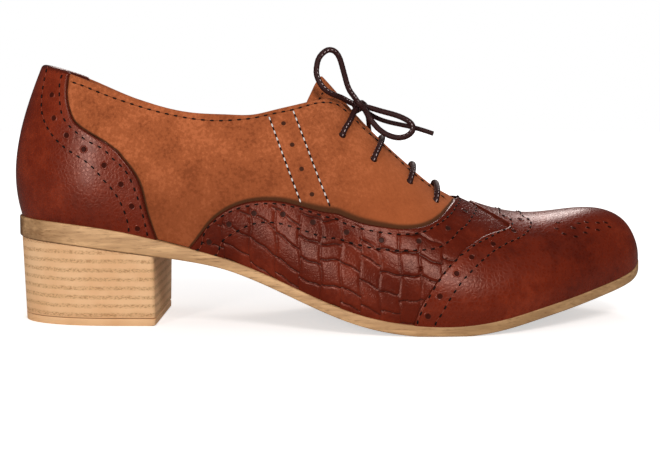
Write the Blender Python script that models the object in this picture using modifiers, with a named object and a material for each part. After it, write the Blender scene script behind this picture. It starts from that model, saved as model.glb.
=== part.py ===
"""Heeled oxford shoe for a right foot, empty, standing on its heel and its forefoot.

Metres. +X points to the toe, +Y to the inner side of the foot, +Z up, and the floor is at z = 0.
Every curved piece follows one surface, the last: ribs from the feather line up to the collar,
the facing edge or the instep ridge. "round" runs 0 at the back seam, 1 at the heel's axis and
2 at the toe's tip; "up" runs 0 at the feather line and 1 at the rib's top.
"""

import math

import bmesh
import bpy
import numpy as np
from mathutils import Matrix, Vector

# The last
LENGTH = 0.2630
BALL_WIDTH = 0.0900
CONE_HEIGHT = 0.0850
HEEL_RISE = 0.0397
TOE_SPRING = 0.0195
THROAT_AT = 0.688
FACING_GAP = 0.0110
CORNER_RUN = 0.0060

# Leathers
WALL = 0.0018
OVERLAY = 0.0010
CAP = 0.0018
TONGUE = 0.0016
INSOLE = 0.0022

# Bottom
SOLE = 0.0040
SEAT_EXTRA = 0.0040
SOLE_MARGIN = 0.0024
SOLE_EDGE_ROUND = 0.0005
SEAT_ENDS_AT = 0.350
SEAT_RUN = 0.210
TREAD_FLAT = 0.0003
HEEL_BREAST_AT = 0.2272
HEEL_INSET = 0.0009
HEEL_TAPER_SIDE = 0.0040
HEEL_TAPER_BACK = 0.0012
HEEL_CORNER = 0.0017
HEEL_CORNER_TURN = np.radians((30, 60, 90))
LIFT = 0.0030
LIFT_SHARE = LIFT / HEEL_RISE

# Lace
LACE = 0.00235
LACE_END = 0.0019
EYELET = 0.0031
EYELET_SIDES = 12
PUNCH_DEPTH = 0.0110
KNOT = (0.0068, 0.0064, 0.0058)

# Clearances
GAP = 0.0003
LEATHER_GAP = 0.0004
INNER_GAP = 0.0009

# The last's ribs. at and the four half widths are shares of LENGTH and BALL_WIDTH, rise is a
# share of CONE_HEIGHT, belly_up and crown_up are shares of the rib's own rise, and heel and toe
# say how much of HEEL_RISE and TOE_SPRING lifts the foot there.
RIB_COLUMNS = (
    "at", "centre", "outer", "inner", "belly_outer", "belly_inner", "belly_up",
    "crown", "crown_up", "mouth", "rise", "heel", "toe",
)
RIBS = (
    (.1685, .026, .300, .294, .367, .361, .267, .278, .646, .200, .930, .887, .000),
    (.2674, .026, .306, .272, .372, .352, .275, .283, .632, .150, .990, .735, .000),
    (.3587, .026, .322, .256, .389, .356, .285, .278, .655, .110, 1.035, .562, .000),
    (.4500, .026, .389, .289, .456, .411, .290, .225, .800, .033, 1.088, .322, .000),
    (.5413, .026, .461, .367, .530, .467, .330, .190, .970, .000, .905, .098, .000),
    (.6288, .026, .494, .433, .556, .500, .345, .220, .998, .000, .690, .006, .000),
    (.6858, .026, .489, .450, .550, .511, .345, .245, 1.000, .000, .556, .000, .000),
    (.7467, .037, .462, .428, .512, .478, .380, .256, 1.000, .000, .454, .000, .090),
    (.8075, .056, .400, .383, .435, .422, .410, .248, 1.000, .000, .381, .000, .258),
    (.8684, .081, .311, .311, .340, .340, .460, .210, 1.000, .000, .355, .000, .420),
    (.9178, .100, .228, .228, .248, .248, .520, .155, 1.000, .000, .330, .000, .570),
    (.9502, .109, .167, .167, .180, .180, .560, .112, 1.000, .000, .284, .000, .680),
    (.9722, .113, .115, .115, .124, .124, .580, .076, 1.000, .000, .212, .000, .783),
    (.9856, .115, .059, .059, .063, .063, .580, .038, 1.000, .000, .112, .000, .900),
    (.9909, .116, .000, .000, .000, .000, .580, .000, 1.000, .000, .000, .000, 1.000),
)
# The back seam. seat, belly, crown and mouth are shares of LENGTH behind the heel's axis.
BACK_SEAM = {
    "seat": .159, "belly": .1845, "crown": .152, "mouth": .103,
    "belly_up": .303, "crown_up": .598, "rise": .878, "heel": 1.0, "toe": 0.0,
}
# The collar line: at a share of LENGTH, its height over the feather line as a share of
# CONE_HEIGHT on each side.
COLLAR_COLUMNS = ("at", "outer", "inner")
COLLAR = (
    (.045, .727, .727), (.093, .703, .690), (.146, .668, .640), (.196, .643, .612),
    (.241, .632, .604), (.287, .641, .618), (.340, .679, .662), (.378, .719, .707),
    (.408, .776, .768), (.439, .839, .835), (.469, .900, .900), (.500, .965, .965),
    (.530, 1.08, 1.08), (.570, 1.40, 1.40), (.640, 2.20, 2.20),
)
COLLAR_SOFTNESS = 26
HEEL_SQUARENESS = 2.25
MIRROR_ROWS = 3

# Where the upper's leathers end, in the last's own round and up.
COUNTER_EDGE = (
    (.00, 1.072), (.12, 1.063), (.28, 1.053), (.44, 1.042), (.52, 1.028), (.59, 1.010),
    (.63, .985), (.66, .920), (.70, .812), (.76, .742), (.85, .690), (1.00, .658),
)
CAP_EDGE = (
    (.00, 1.515), (.11, 1.525), (.25, 1.548), (.37, 1.572), (.44, 1.592), (.54, 1.622),
    (.63, 1.654), (.725, 1.690), (.78, 1.678), (.85, 1.657), (.90, 1.641), (1.00, 1.626),
)
VAMP_EDGE = (
    (1.110, -.12), (1.128, .00), (1.147, .13), (1.165, .25), (1.192, .363), (1.223, .44), (1.25, .472),
    (1.283, .480), (1.320, .463), (1.365, .425), (1.405, .408), (1.445, .430), (1.483, .467),
    (1.510, .503), (1.532, .55), (1.555, .63), (1.580, .77), (1.598, .90), (1.606, 1.00),
)
UPS = (0, .09, .18, .27, .36, .45, .53, .60, .66, .725, .80, .89, 1)
COUNTER_UPS = (0, .09, .18, .27, .36, .45, .53, .60, .65, .69, .735, .80, .89, 1)
FOOT_ROW = 4
EDGE_RAISE = 0.0007
SEAM_STEP = 0.0038
VAMP_BRIDGE = .962
FORM_DEPTH = 0.0040
FORM_TOP = 1.03

# Stretches around the last: from, to, and how many steps divide each.
UPPER_STRETCHES = ((0, 1, 7), (1, 1.31, 6), (1.31, 1.43, 5), (1.43, 1.70, 9))
TOE_STRETCH = ((1.70, 2, 10),)
SOLE_STRETCHES = ((0, 1, 9), (1, 1.70, 19), (1.70, 2, 18))
COUNTER_STEPS = 10
VAMP_STEPS = 14
CAP_STEPS = 5
HEEL_TURN_STEPS = 8
HEEL_SIDE_STEPS = 4
FORM_STEPS = 6
NEARBY = 0.003
MERGE = 0.00001

# Eyelets: round and up on the last, and how far forward the lace's bar meets the ridge, as a
# share of LENGTH.
EYELETS = (
    (1.397, .770, .0175), (1.453, .775, .0135), (1.517, .815, .0050), (1.563, .820, .0010),
)
# Tongue: half widths of its columns as shares of BALL_WIDTH, and how deep each lies under the
# last's surface, in walls.
TONGUE_COLUMNS = ((.000, .35), (.026, .60), (.050, 1.34), (.100, 1.42), (.150, 1.42), (.200, 1.42))
TONGUE_TIP_AT = .4770
TONGUE_ROOT_AT = .7150
TONGUE_LEAN = .0200
TONGUE_ROUNDING = 1.5
TONGUE_TUCK = .0600
TONGUE_ROWS = 14

# The lace's bars, from an eyelet to the ridge: each row says how far past the eyelet's up it
# lies, its share of the way from there to the bar's end, its clearances over the leather, and
# its share of the way forward.
BAR_ROWS = ((-.010, .00, 1, .00), (.035, .00, 2, .15), (.000, .45, 2, .45), (.000, 1.00, 2, .85))
BAR_ENDS_AT = .985
BAR_CREST = (0.0002, 0, 0.0004)
STRAND_ENDS_AT = .965
CORD_SPACING = 2.2

# The lace's free routes, chosen by hand.
KNOT_AT = (0.0106, -0.0005, 0.0889)
LOOP_UP = (
    (0.0093, -0.0015, 0.0923), (0.0073, -0.0021, 0.0950), (0.0054, -0.0026, 0.0999),
    (0.0039, -0.0032, 0.1054), (0.0024, -0.0038, 0.1096), (0.0005, -0.0046, 0.1117),
    (-0.0016, -0.0054, 0.1121), (-0.0041, -0.0063, 0.1107), (-0.0058, -0.0072, 0.1084),
    (-0.0066, -0.0081, 0.1053), (-0.0067, -0.0090, 0.1023), (-0.0057, -0.0098, 0.0993),
    (-0.0039, -0.0101, 0.0965), (-0.0006, -0.0089, 0.0941), (0.0034, -0.0058, 0.0925),
    (0.0074, -0.0020, 0.0904),
)
LOOP_FORWARD = (
    (0.0126, -0.0039, 0.0884), (0.0142, -0.0060, 0.0857), (0.0167, -0.0080, 0.0820),
    (0.0198, -0.0097, 0.0788), (0.0232, -0.0112, 0.0769), (0.0269, -0.0121, 0.0761),
    (0.0306, -0.0121, 0.0770), (0.0327, -0.0111, 0.0791), (0.0326, -0.0096, 0.0812),
    (0.0302, -0.0077, 0.0834), (0.0255, -0.0055, 0.0854), (0.0200, -0.0032, 0.0869),
    (0.0144, -0.0007, 0.0885),
)
END_FORWARD = (
    (0.0133, 0.0022, 0.0873), (0.0163, 0.0021, 0.0852), (0.0201, 0.0010, 0.0833),
    (0.0274, -0.0025, 0.0814), (0.0346, -0.0055, 0.0798), (0.0415, -0.0075, 0.0776),
)
END_FAR = (
    (0.0123, 0.0029, 0.0900), (0.0136, 0.0062, 0.0896), (0.0146, 0.0102, 0.0868),
    (0.0154, 0.0138, 0.0820), (0.0160, 0.0168, 0.0762), (0.0164, 0.0190, 0.0712),
)

COLOURS = {
    "burgundy_leather": ((0.145, 0.024, 0.014, 1), 0.35),
    "tan_suede": ((0.33, 0.105, 0.040, 1), 0.85),
    "embossed_leather": ((0.115, 0.022, 0.012, 1), 0.38),
    "sole_leather": ((0.45, 0.26, 0.13, 1), 0.6),
    "stacked_heel": ((0.62, 0.37, 0.19, 1), 0.6),
    "heel_rubber": ((0.50, 0.30, 0.15, 1), 0.7),
    "sock_leather": ((0.60, 0.45, 0.30, 1), 0.6),
    "lace_cord": ((0.040, 0.010, 0.010, 1), 0.7),
}


def clear_scene():
    for item in list(bpy.data.objects):
        bpy.data.objects.remove(item, do_unlink=True)


def spline(knots, values, at):
    """Natural cubic spline through the values."""
    knots, values, at = (np.asarray(each, float) for each in (knots, values, at))
    count = len(knots)
    step = np.diff(knots)
    slope = np.diff(values) / step
    system = np.eye(count)
    right = np.zeros(count)
    for i in range(1, count - 1):
        system[i, i - 1:i + 2] = step[i - 1], 2 * (step[i - 1] + step[i]), step[i]
        right[i] = 6 * (slope[i] - slope[i - 1])
    bend = np.linalg.solve(system, right)
    i = np.clip(np.searchsorted(knots, at) - 1, 0, count - 2)
    before = (knots[i + 1] - at) / step[i]
    after = 1 - before
    curve = (before ** 3 - before) * bend[i] + (after ** 3 - after) * bend[i + 1]
    return before * values[i] + after * values[i + 1] + curve * step[i] ** 2 / 6


RIB = {name: np.array([row[i] for row in RIBS]) for i, name in enumerate(RIB_COLUMNS)}
ALONG = np.concatenate([[0], np.cumsum(np.hypot(
    np.diff(RIB["at"]) * LENGTH, np.diff(RIB["outer"]) * BALL_WIDTH))])
TIP = ALONG[-1]
MOUTH_CLOSES = ALONG[np.argmin(RIB["mouth"])]
HEEL_AXIS_X = (RIB["at"][0] - 0.5) * LENGTH
HEEL_RADIUS = BACK_SEAM["seat"] * LENGTH


def along_shoe(values, place, back=None, odd_at_toe=False):
    """One column of the ribs at a place along the shoe, run on past both ends."""
    knots = list(ALONG)
    values = list(values)
    if back is None:
        knots = [-each for each in ALONG[MIRROR_ROWS:0:-1]] + knots
        values = values[MIRROR_ROWS:0:-1] + values
    else:
        knots = [-HEEL_RADIUS] + knots
        values = [back] + values
    sign = -1 if odd_at_toe else 1
    knots += [2 * TIP - each for each in ALONG[-2:-2 - MIRROR_ROWS:-1]]
    values += [sign * each for each in values[-2:-2 - MIRROR_ROWS:-1]]
    return spline(knots, values, place)


def fan(around):
    """How far behind and beside the heel's axis each place lies, as shares of a quarter turn."""
    turn = np.clip(around, 0, 1) * math.pi / 2
    behind = np.where(around < 1, np.cos(turn) ** (2 / HEEL_SQUARENESS), 0)
    beside = np.where(around < 1, np.sin(turn) ** (2 / HEEL_SQUARENESS), 1)
    return behind, beside


def height_place(around):
    """Distance along the shoe that sets the heights at each place around the last."""
    return np.clip(around - 1, 0, None) * TIP - HEEL_RADIUS * fan(around)[0]


def foot_height(place):
    """Height of the feather line, where the upper stands on the sole."""
    heel = along_shoe(RIB["heel"], place, BACK_SEAM["heel"]) * HEEL_RISE
    toe = along_shoe(RIB["toe"], place, BACK_SEAM["toe"]) * TOE_SPRING
    return heel + toe + SOLE + GAP


def ribs(around, side):
    """Four control points of the rib at each place around the last, and its middle line."""
    around = np.atleast_1d(np.asarray(around, float))
    behind, beside = fan(around)
    wide_place = np.clip(around - 1, 0, None) * TIP
    high_place = height_place(around)
    name = "outer" if side < 0 else "inner"
    widths = {
        "seat": RIB[name], "belly": RIB["belly_" + name],
        "crown": RIB["crown"], "mouth": RIB["mouth"],
    }
    rise = along_shoe(RIB["rise"], high_place, BACK_SEAM["rise"], True) * CONE_HEIGHT
    shares = {
        "seat": 0,
        "belly": along_shoe(RIB["belly_up"], high_place, BACK_SEAM["belly_up"]),
        "crown": along_shoe(RIB["crown_up"], high_place, BACK_SEAM["crown_up"]),
        "mouth": 1,
    }
    middle = along_shoe(RIB["centre"], wide_place) * BALL_WIDTH
    start = RIB["at"][0] - BACK_SEAM["seat"]
    forward = (along_shoe(RIB["at"], wide_place, start) - 0.5) * LENGTH
    forward = np.where(around < 1, HEEL_AXIS_X, forward)
    feet = foot_height(high_place)
    points = np.zeros((len(around), 4, 3))
    for i, control in enumerate(widths):
        width = along_shoe(widths[control], wide_place, odd_at_toe=True) * BALL_WIDTH
        if control == "mouth":
            width = np.where(wide_place < MOUTH_CLOSES, np.clip(width, 0, None), 0)
        points[:, i, 0] = forward - behind * BACK_SEAM[control] * LENGTH
        points[:, i, 1] = middle + side * width * beside
        points[:, i, 2] = feet + shares[control] * rise
    return points, middle


def on_rib(points, share):
    """A point on each rib, a cubic curve through its control points."""
    share = np.asarray(share, float)[:, None]
    rest = 1 - share
    low = rest ** 3 * points[:, 0] + 3 * share * rest ** 2 * points[:, 1]
    return low + 3 * share ** 2 * rest * points[:, 2] + share ** 3 * points[:, 3]


def last_true(test, count):
    """The largest share of each rib for which the test holds, by halving."""
    low, high = np.zeros(count), np.ones(count)
    for _ in range(30):
        middle = (low + high) / 2
        holds = test(middle)
        low, high = np.where(holds, middle, low), np.where(holds, high, middle)
    return low


def rib_tops(around, side):
    """Share of each rib where the upper ends: at the collar, the facing edge or the ridge."""
    points, middle = ribs(around, side)
    count = len(points)
    column = COLLAR_COLUMNS.index("outer" if side < 0 else "inner")
    places = [row[0] for row in COLLAR]
    heights = [row[column] for row in COLLAR]

    def collar_room(spot):
        place = np.clip(spot[:, 0] / LENGTH + 0.5, places[0], places[-1])
        return spline(places, heights, place) - (spot[:, 2] - points[:, 0, 2]) / CONE_HEIGHT

    collar = last_true(lambda share: collar_room(on_rib(points, share)) > 0, count)
    spare = np.clip(collar_room(on_rib(points, np.ones(count))), 0, None)
    collar = collar + np.where(collar > 0.9999, spare, 0)
    throat_x = (THROAT_AT - 0.5) * LENGTH
    opening = np.sqrt(np.clip((throat_x - points[:, 0, 0]) / CORNER_RUN, 0, 1)) * FACING_GAP / 2
    facing = last_true(lambda share: abs(on_rib(points, share)[:, 1] - middle) > opening, count)
    facing = np.where(around < 1, 2, facing)
    soft = -np.log(np.exp(-COLLAR_SOFTNESS * collar) + np.exp(-COLLAR_SOFTNESS * facing))
    return np.where(points[:, 0, 0] >= throat_x, 1.0, np.minimum(soft / COLLAR_SOFTNESS, 1.0))


PLACES = np.linspace(0, 2, 1601)
TOPS = {side: rib_tops(PLACES, side) for side in (-1, 1)}
FEATHER_X = ribs(PLACES, 1)[0][:, 0, 0]


def last_surface(around, up, side):
    """Points of the last's surface at matching arrays of round and up."""
    around, up = np.broadcast_arrays(np.asarray(around, float), np.asarray(up, float))
    points, _ = ribs(around.ravel(), side)
    share = up.ravel() * np.interp(around.ravel(), PLACES, TOPS[side])
    return on_rib(points, share).reshape(around.shape + (3,))


def outward(around, up, side):
    """Unit normals of the last's surface, pointing out of the shoe."""
    around = np.clip(np.asarray(around, float), NEARBY, 2 - NEARBY)
    up = np.clip(np.asarray(up, float), NEARBY, 1 - NEARBY)
    forward = last_surface(around + NEARBY, up, side) - last_surface(around - NEARBY, up, side)
    upward = last_surface(around, up + NEARBY, side) - last_surface(around, up - NEARBY, side)
    normal = np.cross(forward, upward) * -side
    return normal / np.linalg.norm(normal, axis=-1, keepdims=True)


def make_material(name):
    colour, roughness = COLOURS[name]
    material = bpy.data.materials.new(name)
    material.use_nodes = True
    shader = material.node_tree.nodes["Principled BSDF"]
    shader.inputs["Base Color"].default_value = colour
    shader.inputs["Roughness"].default_value = roughness
    return material


def add_object(name, data, material, smooth=True):
    """Put a mesh or curve in the shoe's collection with its material."""
    made = bpy.data.objects.new(name, data)
    SHOE.objects.link(made)
    data.materials.append(MATERIALS[material])
    if smooth and made.type == "MESH":
        data.shade_smooth()
        data.set_sharp_from_angle(angle=math.radians(40))
    return made


def mesh_of(name, build):
    """A mesh from a finished bmesh, its coinciding points merged first."""
    bmesh.ops.remove_doubles(build, verts=build.verts, dist=MERGE)
    bmesh.ops.dissolve_degenerate(build, edges=build.edges, dist=MERGE / 10)
    mesh = bpy.data.meshes.new(name)
    build.to_mesh(mesh)
    build.free()
    return mesh


def leather(name, material, surface, thickness, lift, outside=True, sides=(-1, 1)):
    """A sheet of leather over the sides of the last, thickened away from its surface.

    surface(side) gives rows of points around the last, each row from low to high.
    """
    build = bmesh.new()
    for side in sides:
        grid = surface(side)
        corners = [[build.verts.new(point) for point in row] for row in grid]
        for low, high in zip(corners, corners[1:]):
            for i in range(len(low) - 1):
                face = [low[i], high[i], high[i + 1], low[i + 1]]
                build.faces.new(face if side < 0 else face[::-1])
    bmesh.ops.remove_doubles(build, verts=build.verts, dist=MERGE)
    bmesh.ops.dissolve_degenerate(build, edges=build.edges, dist=MERGE / 10)
    build.normal_update()
    for corner in build.verts:
        corner.co += corner.normal * lift
    made = add_object(name, mesh_of(name, build), material)
    shell = made.modifiers.new("thickness", "SOLIDIFY")
    shell.thickness = thickness
    shell.offset = 1 if outside else -1
    shell.use_even_offset = True
    shell.use_quality_normals = True
    return made


def divided(stretches):
    """Places around the last along its stretches, both ends included."""
    places = [np.linspace(start, end, steps + 1)[:-1] for start, end, steps in stretches]
    return np.concatenate(places + [[stretches[-1][1]]])


def make_upper():
    stations = divided(UPPER_STRETCHES + TOE_STRETCH)

    def surface(side):
        return last_surface(stations[:, None], np.array(UPS)[None, :], side)

    upper = leather("upper", "tan_suede", surface, WALL, 0, outside=False)
    cut(upper, eyelet_cutter())
    return upper


def eyelet_cutter():
    """Eight punches through the facings, square to the leather."""
    build = bmesh.new()
    for around, up, _ in EYELETS:
        for side in (-1, 1):
            centre = Vector(last_surface(around, up, side))
            axis = Vector(outward(around, up, side))
            turn = axis.to_track_quat("Z", "Y").to_matrix().to_4x4()
            bmesh.ops.create_cone(
                build, cap_ends=True, segments=EYELET_SIDES, radius1=EYELET / 2, radius2=EYELET / 2,
                depth=PUNCH_DEPTH, matrix=Matrix.Translation(centre) @ turn)
    mesh = bpy.data.meshes.new("eyelet_punches")
    build.to_mesh(mesh)
    build.free()
    cutter = bpy.data.objects.new("eyelet_punches", mesh)
    CUTTERS.objects.link(cutter)
    cutter.display_type = "WIRE"
    cutter.hide_render = True
    return cutter


def cut(target, cutter):
    boolean = target.modifiers.new(cutter.name, "BOOLEAN")
    boolean.operation = "DIFFERENCE"
    boolean.solver = "EXACT"
    boolean.object = cutter


def raised_ups(stations, side, ups=UPS):
    """The rows' heights at each place, the lowest one just clear of the sole's top."""
    low = ups[FOOT_ROW]
    foot = last_surface(stations, 0, side)[..., 2]
    room = last_surface(stations, low, side)[..., 2] - foot
    start = np.clip(EDGE_RAISE / np.maximum(room, EDGE_RAISE), 0, 1) * low
    return np.maximum(start, np.array(ups)[None, :])


def make_heel_counter():
    edge = np.array(COUNTER_EDGE)
    reach = np.interp(COUNTER_UPS, edge[:, 0], edge[:, 1])
    stations = np.linspace(0, 1, COUNTER_STEPS + 1)[:, None] * reach[None, :]

    def surface(side):
        return last_surface(stations, raised_ups(stations, side, COUNTER_UPS), side)

    return leather("heel_counter", "burgundy_leather", surface, OVERLAY, LEATHER_GAP)


def cap_start():
    edge = np.array(CAP_EDGE)
    return np.interp(UPS, edge[:, 0], edge[:, 1])


def make_wing_cap():
    start = cap_start()
    toe = divided(TOE_STRETCH)
    shares = np.linspace(0, 1, CAP_STEPS + 1)[:-1]
    joined = start[None, :] + shares[:, None] * (toe[0] - start[None, :])
    stations = np.vstack([joined, np.repeat(toe[:, None], len(UPS), axis=1)])

    def surface(side):
        points = last_surface(stations, raised_ups(stations, side), side)
        points[-1, :, 2] += EDGE_RAISE
        return points

    return leather("wing_cap", "burgundy_leather", surface, CAP, LEATHER_GAP)


def quarter_form(side):
    """The thick form over one quarter, whose lower edge trims the vamp's panel."""
    edge = np.array(VAMP_EDGE)
    places = np.union1d(edge[:, 0], (edge[1:, 0] + edge[:-1, 0]) / 2)
    low = np.interp(places, edge[:, 0], edge[:, 1])
    shares = np.linspace(0, 1, FORM_STEPS + 1)
    ups = low[:, None] + (FORM_TOP - low[:, None]) * shares[None, :]

    def surface(_):
        return last_surface(places[:, None], ups, side)

    name = "quarter_form_outer" if side < 0 else "quarter_form_inner"
    form = leather(name, "tan_suede", surface, 3 * FORM_DEPTH, -FORM_DEPTH, sides=(side,))
    SHOE.objects.unlink(form)
    CUTTERS.objects.link(form)
    form.display_type = "WIRE"
    form.hide_render = True
    return form


def make_vamp_panel():
    """A panel up to the cap's edge, its upper edge cut by the quarters' forms."""
    start = VAMP_EDGE[0][0] + 0.5 * (VAMP_EDGE[1][0] - VAMP_EDGE[0][0])
    finish = cap_start() - SEAM_STEP
    shares = np.concatenate([np.linspace(0, VAMP_BRIDGE, VAMP_STEPS + 1), [(1 + VAMP_BRIDGE) / 2, 1]])
    stations = start + shares[:, None] * (finish[None, :] - start)

    def surface(side):
        return last_surface(stations, raised_ups(stations, side), side)

    panel = leather("vamp_panel", "embossed_leather", surface, OVERLAY, LEATHER_GAP)
    for side in (-1, 1):
        cut(panel, quarter_form(side))
    return panel


def make_tongue():
    """A sheet under the facings that rises through their gap to a free tip."""
    along = np.linspace(0, 1, TONGUE_ROWS)
    widths = np.array([row[0] for row in TONGUE_COLUMNS]) * BALL_WIDTH
    depths = np.array([row[1] for row in TONGUE_COLUMNS])

    def surface(side):
        rows = []
        for share in along:
            lean = TONGUE_LEAN * (widths / widths[-1]) ** TONGUE_ROUNDING * (1 - share)
            places = TONGUE_TIP_AT + share * (TONGUE_ROOT_AT - TONGUE_TIP_AT) - lean
            around = station_at((places - 0.5) * LENGTH)
            points, middle = ribs(around, side)
            inside = last_true(
                lambda part: abs(on_rib(points, part)[:, 1] - middle) > widths, len(points))
            inside = np.where(widths == 0, 1, inside)
            spots = on_rib(points, inside)
            nearby = on_rib(points, np.clip(inside - NEARBY, 0, 1))
            across = spots - nearby
            across = across / np.linalg.norm(across, axis=1, keepdims=True)
            across[widths == 0] = (0, -side, 0)
            ahead, _ = ribs(around + NEARBY, side)
            forward = on_rib(ahead, inside) - spots
            normal = np.cross(forward, across) * -side
            normal /= np.linalg.norm(normal, axis=1, keepdims=True)
            normal[widths == 0, 1] = 0
            closed = np.clip((places - THROAT_AT) / TONGUE_TUCK + 1, 0, 1)
            under = depths + closed * (depths[-1] - depths)
            rows.append(spots - normal * (under * WALL)[:, None])
        return np.array(rows)[:, ::-1]

    return leather("tongue", "tan_suede", surface, TONGUE, 0, outside=False)


def outline(margin, stations):
    """The feather line seen from above, moved out by a margin: outer and inner side."""
    sides = []
    for side in (-1, 1):
        points, _ = ribs(stations, side)
        line = points[:, 0, :2]
        ahead, _ = ribs(np.clip(stations + NEARBY, 0, 2), side)
        back, _ = ribs(np.clip(stations - NEARBY, 0, 2), side)
        run = (ahead - back)[:, 0, :2]
        run /= np.linalg.norm(run, axis=1, keepdims=True)
        normal = np.stack([run[:, 1], -run[:, 0]], axis=1) * -side
        normal[stations == 0] = (-1, 0)
        normal[stations == 2] = (1, 0)
        sides.append(line + normal * margin)
    return sides


def station_at(x):
    """Place around the last whose feather line lies at x."""
    return np.interp(x, FEATHER_X, PLACES)


def sole_top(stations):
    return foot_height(height_place(stations)) - GAP


def sole_under(stations):
    """Underside of the sole, ground flat at the ball and thicker over the heel."""
    points, _ = ribs(stations, 1)
    share = np.clip((SEAT_ENDS_AT - 0.5 - points[:, 0, 0] / LENGTH) / SEAT_RUN, 0, 1)
    seat = SEAT_EXTRA * share ** 2 * (3 - 2 * share)
    return np.maximum(sole_top(stations) - SOLE - seat - TREAD_FLAT, 0)


def stack(name, material, rings):
    """A solid through rings of points, each ring an outer and an inner side from back to front.

    The lowest and the highest ring are closed from side to side.
    """
    build = bmesh.new()
    loops = []
    for outer, inner in rings:
        loops.append([[build.verts.new(p) for p in outer], [build.verts.new(p) for p in inner]])
    for (outer, inner), downward in ((loops[0], True), (loops[-1], False)):
        for i in range(len(outer) - 1):
            face = [outer[i], outer[i + 1], inner[i + 1], inner[i]]
            build.faces.new(face[::-1] if downward else face)
    for low, high in zip(loops, loops[1:]):
        ring_low = low[0] + low[1][::-1]
        ring_high = high[0] + high[1][::-1]
        for i in range(len(ring_low)):
            j = (i + 1) % len(ring_low)
            build.faces.new([ring_low[i], ring_low[j], ring_high[j], ring_high[i]])
    return add_object(name, mesh_of(name, build), material)


def ring(sides, heights):
    """The two sides of an outline raised to the heights of their places."""
    return [np.column_stack([side, heights + np.zeros(len(side))]) for side in sides]


def make_outsole():
    stations = divided(SOLE_STRETCHES)
    full = outline(SOLE_MARGIN, stations)
    tucked = outline(SOLE_MARGIN - SOLE_EDGE_ROUND, stations)
    rings = [
        ring(tucked, sole_under(stations)),
        ring(full, sole_under(stations) + SOLE_EDGE_ROUND),
        ring(full, sole_top(stations) - SOLE_EDGE_ROUND),
        ring(tucked, sole_top(stations)),
    ]
    return stack("outsole", "sole_leather", rings)


def make_insole():
    stations = divided(SOLE_STRETCHES)
    edge = outline(-WALL - INNER_GAP, stations)
    bottom = sole_top(stations) + GAP
    rings = [ring(edge, bottom), ring(edge, bottom + INSOLE)]
    return stack("insole", "sock_leather", rings)


def heel_stations():
    breast_x = (HEEL_BREAST_AT - 0.5) * LENGTH
    corner = breast_x - HEEL_CORNER * (1 - np.sin(HEEL_CORNER_TURN))
    along = np.linspace(HEEL_AXIS_X, breast_x - HEEL_CORNER, HEEL_SIDE_STEPS + 1)
    return np.concatenate([
        np.linspace(0, 1, HEEL_TURN_STEPS + 1)[:-1], station_at(along), station_at(corner)])


def heel_outline(share):
    """The heel's outline at a share of its height, 0 on the floor and 1 under the sole."""
    stations = heel_stations()
    sides = outline(SOLE_MARGIN - HEEL_INSET, stations)
    back_x = sides[0][0, 0]
    middle = sides[0][0, 1]
    breast_x = (HEEL_BREAST_AT - 0.5) * LENGTH
    drop = 1 - share
    longer = 1 - drop * HEEL_TAPER_BACK / (breast_x - back_x)
    rounding = HEEL_CORNER * (1 - np.cos(HEEL_CORNER_TURN))
    shaped = []
    for side, sign in zip(sides, (-1, 1)):
        width = abs(side[-1, 1] - middle)
        narrower = 1 - drop * HEEL_TAPER_SIDE / width
        line = np.column_stack([
            breast_x + (side[:, 0] - breast_x) * longer, middle + (side[:, 1] - middle) * narrower])
        line[-len(rounding):, 1] -= sign * rounding
        shaped.append(line)
    return shaped


def make_heel_block():
    top = sole_under(heel_stations()) - GAP
    rings = [ring(heel_outline(LIFT_SHARE), LIFT + GAP), ring(heel_outline(1), top)]
    return stack("heel_block", "stacked_heel", rings)


def make_heel_top_piece():
    rings = [ring(heel_outline(0), 0), ring(heel_outline(LIFT_SHARE), LIFT)]
    return stack("heel_top_piece", "heel_rubber", rings)


def smooth_route(route, spacing):
    """Evenly spaced points on a smooth curve through the route's own points."""
    route = np.array(route)
    runs = np.concatenate([[0], np.cumsum(np.linalg.norm(np.diff(route, axis=0), axis=1))])
    places = np.linspace(0, runs[-1], max(4, int(round(runs[-1] / spacing)) + 1))
    return np.column_stack([spline(runs, route[:, i], places) for i in range(3)])


def make_cord(name, route, diameter):
    points = smooth_route(route, CORD_SPACING * diameter)
    curve = bpy.data.curves.new(name, "CURVE")
    curve.dimensions = "3D"
    line = curve.splines.new("POLY")
    line.points.add(len(points) - 1)
    for spot, point in zip(line.points, points):
        spot.co = (*point, 1)
    curve.bevel_depth = diameter / 2
    curve.bevel_resolution = 2
    curve.use_fill_caps = True
    return add_object(name, curve, "lace_cord")


def bar_points(eyelet, side, ends_at):
    """A lace's route from over an eyelet, along the facing, towards the ridge."""
    around, up, forward = eyelet
    shift = forward * LENGTH / TIP
    route = []
    for past, way, gaps, share in BAR_ROWS:
        place = around + shift * share
        height = up + past + way * (ends_at - up)
        lift = LACE / 2 + gaps * GAP
        spot = last_surface(place, height, side) + outward(place, height, side) * lift
        route.append(tuple(spot))
    return route


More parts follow.
